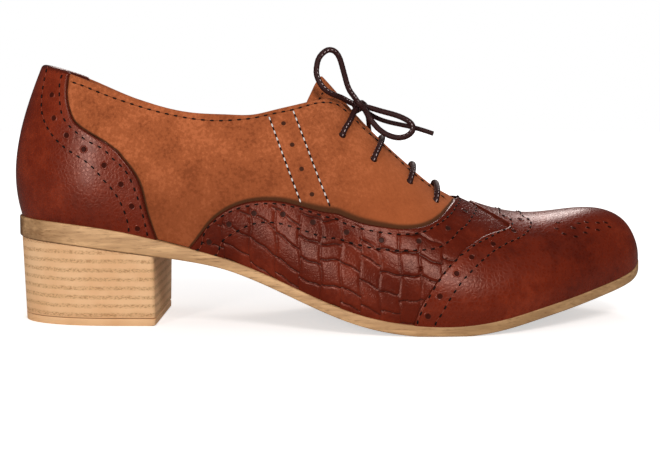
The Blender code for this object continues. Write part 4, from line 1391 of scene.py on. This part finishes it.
def make_vamp(leather):
    """Embossed vamp between the quarters' edge and the cap, as one patch on each side."""
    heights = crowded(121, VAMP_HEIGHT)
    sheet = Sheet()
    for side in (-1, 1):
        around, up, border = vamp_patch(side, 330, heights)
        far = distance_to(last_surface(around, up, side), border)
        groove, slope = scale_pattern(
            (around - 1) * TIP, up * rib_lengths(around, side), side)
        plain = np.clip((far - PLAIN_BORDER) / PLAIN_BLEND, 0, 1)
        front = (np.clip((around - FRONT_STARTS[0]) / FRONT_BLEND[0], 0, 1)
                 * np.clip((up - FRONT_STARTS[1]) / FRONT_BLEND[1], 0, 1))
        plain = plain * (1 - FRONT_FLATTENED * front)
        groove = groove * plain
        sunk = SCALE_DEPTH * (GROOVE_SHARE * groove + EDGE_SHARE * slope * plain)
        face = lifted(around, up, side, folded(far, PANEL_TOP) - sunk)
        # Border darkened: burnish with painted shade along the fold.
        sheet.add(face, side, {"rim": np.exp(-(far / PANEL_RIM) ** 2), "groove": groove})
    sheet.piece("fine_vamp_panel", (leather,), ("vamp_panel",))


def make_cap(leather):
    """Wing cap with its folded rear edge and centre peak."""
    ups = np.linspace(0, 1, 112)
    shares = crowded(150, CAP_LENGTH, (True, False))
    start = edge_curve(CAP_EDGE, ups)
    around = start[None, :] + shares[:, None] * (2 - start[None, :])
    up = np.broadcast_to(ups[None, :], around.shape)
    line_ups = np.linspace(0, 1, 420)
    line_around = edge_curve(CAP_EDGE, line_ups)
    sheet = Sheet()
    for side in (-1, 1):
        border = last_surface(line_around, line_ups, side)
        twin = last_surface(line_around[-80:], line_ups[-80:], -side)
        far = distance_to(last_surface(around, up, side), np.concatenate([border, twin]))
        face = lifted(around, up, side, folded(far, CAP_TOP))
        # Border darkened: burnish with painted shade along the fold.
        sheet.add(face, side, {"rim": np.exp(-(far / PANEL_RIM) ** 2)})
    sheet.piece("fine_wing_cap", (leather,), ("wing_cap",))


def tongue_surface(widths, along, side):
    """Rows of points of the tongue's upper face at some widths, and its normals."""
    table = np.array(TONGUE_COLUMNS)
    depths = spline(table[:, 0] * BALL_WIDTH, table[:, 1], widths)
    deepest = spline(table[:, 0] * BALL_WIDTH, table[:, 1], TONGUE_HALF)
    rows = []
    normals = []
    for share in along:
        lean = TONGUE_LEAN * (widths / widths[-1]) ** TONGUE_ROUNDING * (1 - share)
        places = TONGUE_TIP_AT + share * (TONGUE_ROOT_AT - TONGUE_TIP_AT) - lean
        around = station_at((places - 0.5) * LENGTH)
        points, middle = ribs(around, side)
        inside = last_true(
            lambda part: abs(on_rib(points, part)[:, 1] - middle) > widths, len(points))
        inside = np.where(widths == 0, 1, inside)
        spots = on_rib(points, inside)
        across = unit(spots - on_rib(points, np.clip(inside - NEARBY, 0, 1)))
        across[widths == 0] = (0, -side, 0)
        forward = on_rib(ribs(around + NEARBY, side)[0], inside) - spots
        normal = unit(np.cross(forward, across) * -side)
        normal[widths == 0, 1] = 0
        closed = np.clip((places - THROAT_AT) / TONGUE_TUCK + 1, 0, 1)
        under = depths + closed * (deepest - depths)
        rows.append(spots - normal * (under * WALL)[:, None])
        normals.append(normal)
    return np.array(rows), np.array(normals)


def rounded_edge(first, second, way):
    """Rows of points round the tongue's border, from its face to its back, out along a way."""
    turn = np.linspace(0, math.pi, 7)[None, :, None]
    across = (first - second)[:, None] / 2 * np.cos(turn)
    return (first + second)[:, None] / 2 + across + unit(way)[:, None] * np.sin(turn) * TONGUE / 2


def make_tongue(suede, lining):
    """Suede tongue with its free tip above the facings."""
    widths = np.linspace(0, TONGUE_HALF, 26)
    sheet = Sheet()
    for side in (-1, 1):
        face, normal = tongue_surface(widths, np.linspace(0, 1, 96), side)
        face, normal = face[:, ::-1], normal[:, ::-1]
        back = face - normal * TONGUE
        edge = rounded_edge(face[:, 0], back[:, 0], face[:, 0] - face[:, 1])
        sheet.add(edge[:, ::-1], side)
        sheet.add(face, side)
        sheet.add(back[:, ::-1], side, slot=1)
        tip = rounded_edge(face[0], back[0], face[0] - face[1]).swapaxes(0, 1)
        sheet.add(tip[::-1], side)
    sheet.piece("fine_tongue", (suede, lining), ("tongue",))


# Bottom


def ring(sides, heights):
    """The two sides of an outline raised to the heights of their places."""
    return [np.column_stack([side, heights + np.zeros(len(side))]) for side in sides]


def stack(name, materials, replaces, rings):
    """A solid through rings of points, closed from side to side below and above."""
    sheet = Sheet()
    for k, side in enumerate((-1, 1)):
        sheet.add(np.stack([each[k] for each in rings], axis=1), side)
    sheet.add(np.stack(rings[0], axis=1), 1, slot=len(materials) - 1)
    sheet.add(np.stack(rings[-1], axis=1), -1)
    front = np.stack([np.stack([each[0][-1], each[1][-1]]) for each in rings], axis=1)
    sheet.add(front, -1)
    sheet.piece(name, materials, replaces, angle=40)


def make_outsole(leather, tread):
    """Sole with a rounded lower edge and a finely rounded upper one."""
    stations = places_around(60, 150, 90)
    under, over = sole_under(stations), sole_top(stations)
    lower = SOLE_EDGE_ROUND * 1.6
    rings = []
    for turn in np.linspace(0, math.pi / 2, 5):
        margin = SOLE_MARGIN - lower * (1 - math.sin(turn))
        rings.append(ring(outline(margin, stations), under + lower * (1 - math.cos(turn))))
    for turn in np.linspace(0, math.pi / 2, 4):
        margin = SOLE_MARGIN - SOLE_EDGE_ROUND * (1 - math.cos(turn))
        rings.append(ring(outline(margin, stations), over - SOLE_EDGE_ROUND * (1 - math.sin(turn))))
    rings.append(ring(outline(0, stations), over))
    stack("fine_outsole", (leather, tread), ("outsole",), rings)


def make_insole(leather):
    """Insole and sock, with a soft upper edge."""
    stations = places_around(40, 90, 40)
    bottom = sole_top(stations) + GAP
    rings = [ring(outline(-WALL - INNER_GAP - inset, stations), bottom + INSOLE * height)
             for inset, height in ((0, 0), (0, 0.7), (0.0004, 0.93), (0.0011, 1))]
    stack("fine_insole", (leather,), ("insole",), rings)


def heel_stations():
    """Places around the heel's outline, from its back to its breast and round the corner."""
    corner = HEEL_BREAST_X - HEEL_CORNER * (1 - np.sin(HEEL_TURNS))
    along = np.linspace(HEEL_AXIS_X, HEEL_BREAST_X - HEEL_CORNER, 24)
    return np.concatenate([
        np.linspace(0, 1, 48)[:-1], station_at(along), station_at(corner)])


def heel_outline(share, inset=0.0):
    """The heel's outline at a share of its height, 0 on the floor and 1 under the sole."""
    sides = outline(SOLE_MARGIN - HEEL_INSET - inset, heel_stations())
    back_x, middle = sides[0][0]
    drop = 1 - share
    longer = 1 - drop * HEEL_TAPER_BACK / (HEEL_BREAST_X - back_x)
    rounding = HEEL_CORNER * (1 - np.cos(HEEL_TURNS))
    shaped = []
    for side, sign in zip(sides, (-1, 1)):
        narrower = 1 - drop * HEEL_TAPER_SIDE / abs(side[-1, 1] - middle)
        line = np.column_stack([
            HEEL_BREAST_X - inset + (side[:, 0] - HEEL_BREAST_X) * longer,
            middle + (side[:, 1] - middle) * narrower])
        line[-len(rounding):, 1] -= sign * rounding
        shaped.append(line)
    return shaped


def make_heel(stacked, lift_material):
    """Stacked heel block and the lift under it, both with a small bevel."""
    top = sole_under(heel_stations()) - GAP
    low = LIFT + GAP
    rings = [ring(heel_outline(LIFT_SHARE, BEVEL), low)]
    for share in np.linspace(LIFT_SHARE, 1, 8):
        rise = (share - LIFT_SHARE) / (1 - LIFT_SHARE)
        rings.append(ring(heel_outline(share), low + BEVEL + rise * (top - low - BEVEL)))
    stack("fine_heel_block", (stacked,), ("heel_block",), rings)
    lower = BEVEL * 1.5
    rings = [
        ring(heel_outline(0, lower), 0), ring(heel_outline(0), lower),
        ring(heel_outline(LIFT_SHARE), LIFT - BEVEL), ring(heel_outline(LIFT_SHARE, BEVEL), LIFT)]
    stack("fine_heel_top_piece", (lift_material,), ("heel_top_piece",), rings)


# Places read off the photograph


def photo_pixel(points):
    """Where the photograph shows points of the row's frame."""
    depth = points[..., 1] - EYE[1]
    across = AHEAD_PIXEL[0] + FOCAL_PIXELS * (points[..., 0] - EYE[0]) / depth
    down = AHEAD_PIXEL[1] + FOCAL_PIXELS * (EYE[2] - points[..., 2]) / depth
    return np.stack([across, down], axis=-1)


SEARCH = {}


def on_last(pixels, lift):
    """Round and up of the outer side's places that the photograph shows at some pixels."""
    if lift not in SEARCH:
        around, up = np.meshgrid(np.linspace(0.02, 1.98, 560), np.linspace(0, 1, 130), indexing="ij")
        SEARCH[lift] = around, up, photo_pixel(lifted(around, up, -1, lift))
    grid_around, grid_up, grid_pixels = SEARCH[lift]
    pixels = np.array(pixels, float)
    nearest = [np.argmin(((grid_pixels - pixel) ** 2).sum(-1)) for pixel in pixels]
    around, up = grid_around.ravel()[nearest], grid_up.ravel()[nearest]
    for _ in range(3):
        inner = np.clip(up, 0.0, 1 - 2 * SMALL)
        here = photo_pixel(lifted(around, inner, -1, lift))
        by_around = (photo_pixel(lifted(around + SMALL, inner, -1, lift)) - here) / SMALL
        by_up = (photo_pixel(lifted(around, inner + SMALL, -1, lift)) - here) / SMALL
        miss = pixels - here
        size = by_around[:, 0] * by_up[:, 1] - by_around[:, 1] * by_up[:, 0]
        size = np.where(abs(size) < SEEN_EDGE_ON, NO_STEP, size)
        step_around = (miss[:, 0] * by_up[:, 1] - miss[:, 1] * by_up[:, 0]) / size
        step_up = (by_around[:, 0] * miss[:, 1] - by_around[:, 1] * miss[:, 0]) / size
        around = around + np.clip(step_around, -LARGEST_STEP[0], LARGEST_STEP[0])
        up = np.clip(inner + np.clip(step_up, -LARGEST_STEP[1], LARGEST_STEP[1]), 0, 1)
    return around, up


def stitch_line(pixels, lift, start=None, finish=None):
    """Dense round and up along a row of pixels, run on to a height at either end."""
    around, up = on_last(pixels, lift)
    if start is not None:
        around, up = np.append(around[0], around), np.append(start, up)
    if finish is not None:
        around, up = np.append(around, around[-1]), np.append(up, finish)
    whole = np.append(True, np.diff(leather_runs(around, up)) > LEAST_STEP)
    around, up = around[whole], up[whole]
    runs = leather_runs(around, up)
    at = np.linspace(0, runs[-1], int(runs[-1] / (LEAST_STEP / 2)))
    return spline(runs, around, at), np.clip(spline(runs, up, at), 0, 1)


def tube(points, normals, radii, sides):
    """Rings of a tube round a path, the first point of each ring beside its normal."""
    forward = unit(np.gradient(points, axis=0), TINY)
    beside = unit(np.cross(forward, normals), TINY)
    upright = np.cross(beside, forward)
    turn = np.linspace(0, 2 * math.pi, sides + 1)
    radii = np.broadcast_to(np.asarray(radii, float), (len(points), sides + 1))
    across = beside[:, None] * np.cos(turn)[None, :, None]
    over = upright[:, None] * np.sin(turn)[None, :, None]
    return points[:, None] + (across + over) * radii[..., None]


def add_dashes(sheet, points, normals, step, dash, slots):
    """Stitches along a path, each one an arched dash whose ends dive into the leather."""
    runs = path_runs(points)
    count = max(1, int(runs[-1] / step))
    share = np.linspace(-1, 1, 7)
    arch = (THREAD * DASH_ARCH * (1 - share ** 4) - THREAD * DASH_SUNK)[:, None]
    radii = THREAD / 2 * np.sqrt(np.clip(1 - DASH_TAPER * share ** 4, 0, 1))[:, None]
    for k in range(count):
        centre = (k + 0.5) * runs[-1] / count
        at = np.clip(centre + share * dash / 2, 0, runs[-1])
        spots, above = (np.stack([np.interp(at, runs, each[:, i]) for i in range(3)], -1)
                        for each in (points, normals))
        sheet.add(tube(spots + above * arch, above, radii, 8), -1, slot=slots[k % len(slots)])


def add_sewing(sheet, around, up, lift, step, dash, slots, line_slot):
    """One row of stitches on both sides of the shoe, with the thin thread under it."""
    for side in (-1, 1):
        spots = lifted(around, up, side, lift)
        above = seamed_normal(around, up, side)
        add_dashes(sheet, spots, above, step, dash, slots)
        if line_slot is not None:
            thin = tube(spots + above * JUST_OVER, above, GROOVE_THREAD / 2, 6)
            sheet.add(thin, -1, slot=line_slot)


def add_hole(sheet, spot, normal, size, shade):
    """A punched hole: a low rim that falls to a dark disc, the underlay's colour under painted shade."""
    normal = unit(normal)
    forward = np.array((1.0, 0, 0))
    first = unit(forward - normal * (forward @ normal))
    second = np.cross(normal, first)
    turn = np.linspace(0, 2 * math.pi, 25)
    flat = np.outer(np.cos(turn), first) * size[0] + np.outer(np.sin(turn), second) * size[1]
    grid = np.zeros((len(turn), len(HOLE_RINGS), 3))
    punch = np.zeros((len(turn), len(HOLE_RINGS)))
    for k, (reach, rise, dark) in enumerate(HOLE_RINGS):
        grid[:, k] = spot + flat * reach / 2 + normal * (JUST_OVER + DISH * rise)
        punch[:, k] = dark * shade
    sheet.add(grid, -1, {"punch": punch})


def make_holes(name, pixels, lift, size, shade, material):
    """Punched holes at some pixels, the same on both sides of the shoe."""
    holes = Sheet()
    around, up = on_last(pixels, lift)
    for side in (-1, 1):
        spots = lifted(around, up, side, lift)
        above = seamed_normal(around, up, side)
        for spot, normal in zip(spots, above):
            add_hole(holes, spot, normal, size, shade)
    holes.piece(name, (material,), merge=False)


def make_stitches(threads):
    """Every row of stitches, with the thin thread that shows between them."""
    sheet = Sheet()
    for pixels, lift, start, finish, thin in (
            (COUNTER_FRONT_ROW, PANEL_TOP, None, 0.0, RED),
            (COUNTER_BACK_ROW, PANEL_TOP, None, 0.0, RED),
            (VAMP_UPPER_ROW, PANEL_TOP, 0.0, 1.0, RED), (VAMP_LOWER_ROW, PANEL_TOP, 0.0, 1.0, RED),
            (CAP_BACK_ROW, CAP_TOP, 1.0, 0.0, RED), (CAP_FRONT_ROW, CAP_TOP, 1.0, 0.0, RED),
            (COLLAR_ROW, 0.0, None, None, TAN)):
        around, up = stitch_line(pixels, lift, start, finish)
        add_sewing(sheet, around, up, lift, DASH_STEP, DASH, (BLACK,), thin)
    widths = np.linspace(0.30, 0.97, 60) * TONGUE_HALF
    for side in (-1, 1):
        row, above = tongue_surface(widths, (TONGUE_ROW_AT,), side)
        add_dashes(sheet, row[0], above[0], DASH_STEP, DASH, (BLACK,))
    for pixels in (STRIP_BACK_ROW, STRIP_FRONT_ROW):
        around, up = stitch_line(pixels, 0.0)
        add_sewing(sheet, around, up, 0.0, STRIP_DASH / 2, STRIP_DASH * STRIP_FILL, (WHITE, BLACK), None)
    sheet.piece("stitches", threads, merge=False)


def make_shade_bands(suede):
    """Painted shadow on the suede along the overlays' folded edges, a dark strip laid just over it."""
    sheet = Sheet()
    ups = np.linspace(0, 0.985, 200)[::-1]
    counter_line = edge_curve(COUNTER_EDGE, ups), ups
    steps = np.linspace(BAND_STARTS, 1, 9)
    # Darkness of the painted shadow, full at the overlay's edge and fading out across the band.
    dark = np.clip((1 - steps) / BAND_BLEND, 0, 1)
    dark = BAND_DARK * dark * dark * (3 - 2 * dark)
    for side in (-1, 1):
        for (around, up), width in (
                (vamp_line(side, 300), VAMP_SHADE), (counter_line, COUNTER_SHADE)):
            run = unit(np.stack([np.gradient(around) * TIP, np.gradient(up) * RIB_HEIGHT], -1))
            share = np.linspace(0, 1, len(around))
            wide = width * (BAND_NARROW + (1 - BAND_NARROW) * np.sin(math.pi * share) ** 0.8)
            out = wide[:, None] * steps[None, :]
            band_around = around[:, None] - run[:, 1:] * out / TIP
            band_up = np.clip(up[:, None] + run[:, :1] * out / RIB_HEIGHT, 0, 1)
            grid = lifted(band_around, band_up, side, BAND_LIFT)
            sheet.add(grid, side, {"shade": np.broadcast_to(dark, grid.shape[:2])}, flip=True)
    sheet.piece("suede_painted_shadows", (suede,), merge=False)


# Lace


BRAID_PITCH = 0.0034
BRAID_RISE = 0.00011
BRAID_STEP = 0.00026
BRAID_SIDES = 24
BRAID_START = (0.3, 0.5, 0.81)
BRAID_MIDDLE = 0.6
# Pale flecks, partly painted highlights on the lit side: the way they face, and where they start and
# over what they blend, by facing and by the strand's own height.
FLECK_LIT_FACE = np.array((0.0, -0.62, 0.78))
FLECK_LIT_FACING = (0.25, 0.2)
FLECK_HEIGHT = (0.35, 0.25)


def smooth_route(route, spacing):
    """Evenly spaced points on a smooth curve through the route's own points."""
    route = np.array(route)
    runs = path_runs(route)
    places = np.linspace(0, runs[-1], max(4, int(round(runs[-1] / spacing)) + 1))
    return np.column_stack([spline(runs, route[:, i], places) for i in range(3)])


def make_braid(name, route, diameter, flecks=True, replaces=()):
    """One length of round braid with its strands and pale flecks, and the path it follows."""
    points = smooth_route(route, BRAID_STEP)
    forward = unit(np.gradient(points, axis=0))
    normal = np.cross(forward[0], BRAID_START)
    normals = []
    for way in forward:
        normal = unit(normal - way * (normal @ way))
        normals.append(normal)
    turn = np.linspace(0, 2 * math.pi, BRAID_SIDES + 1)[None, :]
    run = path_runs(points)[:, None]
    left = 4 * turn + 2 * math.pi * run / BRAID_PITCH
    right = 4 * turn - 2 * math.pi * run / BRAID_PITCH
    weave = np.cos(left) * np.cos(right)
    strand = np.sqrt(abs(weave))
    radius = diameter / 2 + BRAID_RISE * (strand - BRAID_MIDDLE)
    left_cell, right_cell = (np.floor(each / math.pi + 0.5) for each in (left, right))
    pale = ((left_cell + right_cell) % 4 == 0) & ((left_cell - right_cell) % 2 == 0)
    grid = tube(points, np.array(normals), radius, BRAID_SIDES)
    # Painted highlight: pale flecks only where the braid turns up and forward, towards the light, and on
    # the strands' crests.
    facing = unit(grid - points[:, None]) @ FLECK_LIT_FACE
    lit_side = np.clip((facing - FLECK_LIT_FACING[0]) / FLECK_LIT_FACING[1], 0, 1)
    high = np.clip((abs(weave) - FLECK_HEIGHT[0]) / FLECK_HEIGHT[1], 0, 1)
    fleck = np.where(pale, high, 0) * lit_side * float(flecks)
    sheet = Sheet()
    sheet.add(grid, -1, {"strand": strand, "fleck": fleck})
    for k in (0, -1):
        shares = np.array((1.0, 0.9, 0.0))
        cap = points[k] + (grid[k][None] - points[k]) * shares[:, None, None]
        sheet.add(cap, -1, {"strand": 0.4 + 0 * cap[..., 0]}, flip=(k == 0))
    made = sheet.piece(name, (MATERIALS["lace"],), replaces)
    return made, points


def eyelet_route(eyelet, side, ends_at):
    """From inside the eyelet, over its lip and along the facing towards the ridge."""
    around, up, forward = eyelet
    shift = forward * LENGTH / TIP
    centre = last_surface(around, up, side)
    normal = outward(around, up, side)
    route = [tuple(centre - normal * depth) for depth in EYELET_DEPTHS]
    for past, way, gaps, share in BAR_ROWS:
        place = around + shift * share
        height = up + past + way * (ends_at - up)
        rise = LACE * LIP_RISE if way == 0 else LACE / 2 + gaps * GAP * ROW_GAP
        spot = last_surface(place, height, side) + outward(place, height, side) * rise
        route.append(tuple(spot))
    return route


def make_lace():
    """The knot, the bow and its ends, then the strands and bars that run through the eyelets."""
    knot = np.array(KNOT_AT)
    ahead = unit(np.array(KNOT_AXIS))
    beside = unit(np.cross(ahead, (0, 0, 1)))
    upright = np.cross(beside, ahead)
    wrap = [
        tuple(knot + np.array(KNOT_SHIFT) + beside * KNOT_RADIUS * math.cos(each)
              + upright * KNOT_RADIUS * math.sin(each) + ahead * KNOT_RUN * (each / math.pi - 0.9))
        for each in np.linspace(KNOT_TURNS[0] * math.pi, KNOT_TURNS[1] * math.pi, 22)]
    wrapped = make_braid("braided_knot", wrap, LACE * KNOT_THINNER, False, ("lace_knot",))[0]
    bow = (BOW_HIDDEN,) + LOOP_UP[::-1] + BOW_FRONT + LOOP_FORWARD + (BOW_HIDDEN,)
    made, path = make_braid("lace_bow", bow, LACE, True, ("lace_loop_up", "lace_loop_forward"))
    for name, route in (("lace_end_forward", END_FORWARD), ("lace_end_far", END_FAR)):
        made, path = make_braid("braided_" + name, (KNOT_AT,) + route, LACE_END, False, (name,))
    for side, word in ((-1, "outer"), (1, "inner")):
        route = eyelet_route(EYELETS[0], side, STRAND_ENDS_AT)
        route.append(tuple(knot + (np.array(route[-1]) - knot) * STRAND_NEAR))
        make_braid("braided_strand_" + word, route, LACE, True, ("lace_strand_" + word,))
    for number, eyelet in enumerate(EYELETS[1:], start=1):
        near = eyelet_route(eyelet, -1, BAR_ENDS_AT)
        far = eyelet_route(eyelet, 1, BAR_ENDS_AT)
        crest = (np.array(near[-1]) + np.array(far[-1])) / 2 + np.array(BAR_CREST)
        make_braid(f"braided_bar_{number}", near + [tuple(crest)] + far[::-1], LACE, True,
                   (f"lace_bar_{number}",))


make_camera()
make_lights()
make_floor()
make_clouds_group()
make_grain_group()
make_fold_group()
MATERIALS = {
    "polished": make_polished_leather(),
    "embossed": make_embossed_leather(),
    "suede": make_suede(),
    "lining": make_lining_leather(
        "tan_lining_leather", (196, 150, 108), (178, 128, 86), (160, 110, 70)),
    "sock": make_lining_leather(
        "sock_lining_leather", (214, 178, 138), (198, 160, 118), (182, 142, 100)),
    "sole": make_sole_leather(),
    "tread": make_lining_leather(
        "sole_tread_leather", (186, 146, 104), (168, 128, 88), (150, 112, 74)),
    "stacked": make_stacked_leather("stacked_heel_leather", 1.0),
    "lift": make_stacked_leather("heel_top_piece_rubber", 0.0),
    "lace": make_cord_material(),
    "black_thread": make_thread_material("black_thread", (0.004, 0.0035, 0.0035, 1)),
    "white_thread": make_thread_material("white_thread", (0.82, 0.80, 0.77, 1)),
    "red_thread": make_thread_material("dark_red_thread", srgb(150, 74, 54)),
    "tan_thread": make_thread_material("tan_thread", srgb(128, 66, 30)),
}
make_lace()
make_upper(MATERIALS["suede"], MATERIALS["lining"])
make_counter(MATERIALS["polished"])
make_vamp(MATERIALS["embossed"])
make_cap(MATERIALS["polished"])
make_tongue(MATERIALS["suede"], MATERIALS["lining"])
make_outsole(MATERIALS["sole"], MATERIALS["tread"])
make_insole(MATERIALS["sock"])
make_heel(MATERIALS["stacked"], MATERIALS["lift"])
make_stitches([MATERIALS[each + "_thread"] for each in ("black", "white", "red", "tan")])
# Each row's share of darkness is painted shade in the holes over the underlay's colour.
for name, pixels, lift, size, shade, leather, slot in (
        ("counter_pinholes", COUNTER_HOLES, PANEL_TOP, HOLE, 0.69, "polished", "burgundy_leather"),
        ("vamp_pinholes", VAMP_HOLES, PANEL_TOP, HOLE, 0.80, "embossed", "embossed_leather"),
        ("cap_pinholes", CAP_HOLES, CAP_TOP, HOLE, 0.69, "polished", "burgundy_leather"),
        ("strip_pinholes", STRIP_HOLES, 0.0, STRIP_HOLE, 0.74, "suede", "tan_suede"),
        ("medallion", MEDALLION_HOLES, CAP_TOP, MEDALLION_HOLE, 1.0, "polished", "burgundy_leather")):
    make_holes(name, pixels, lift, size, shade, MATERIALS[leather])
make_shade_bands(MATERIALS["suede"])
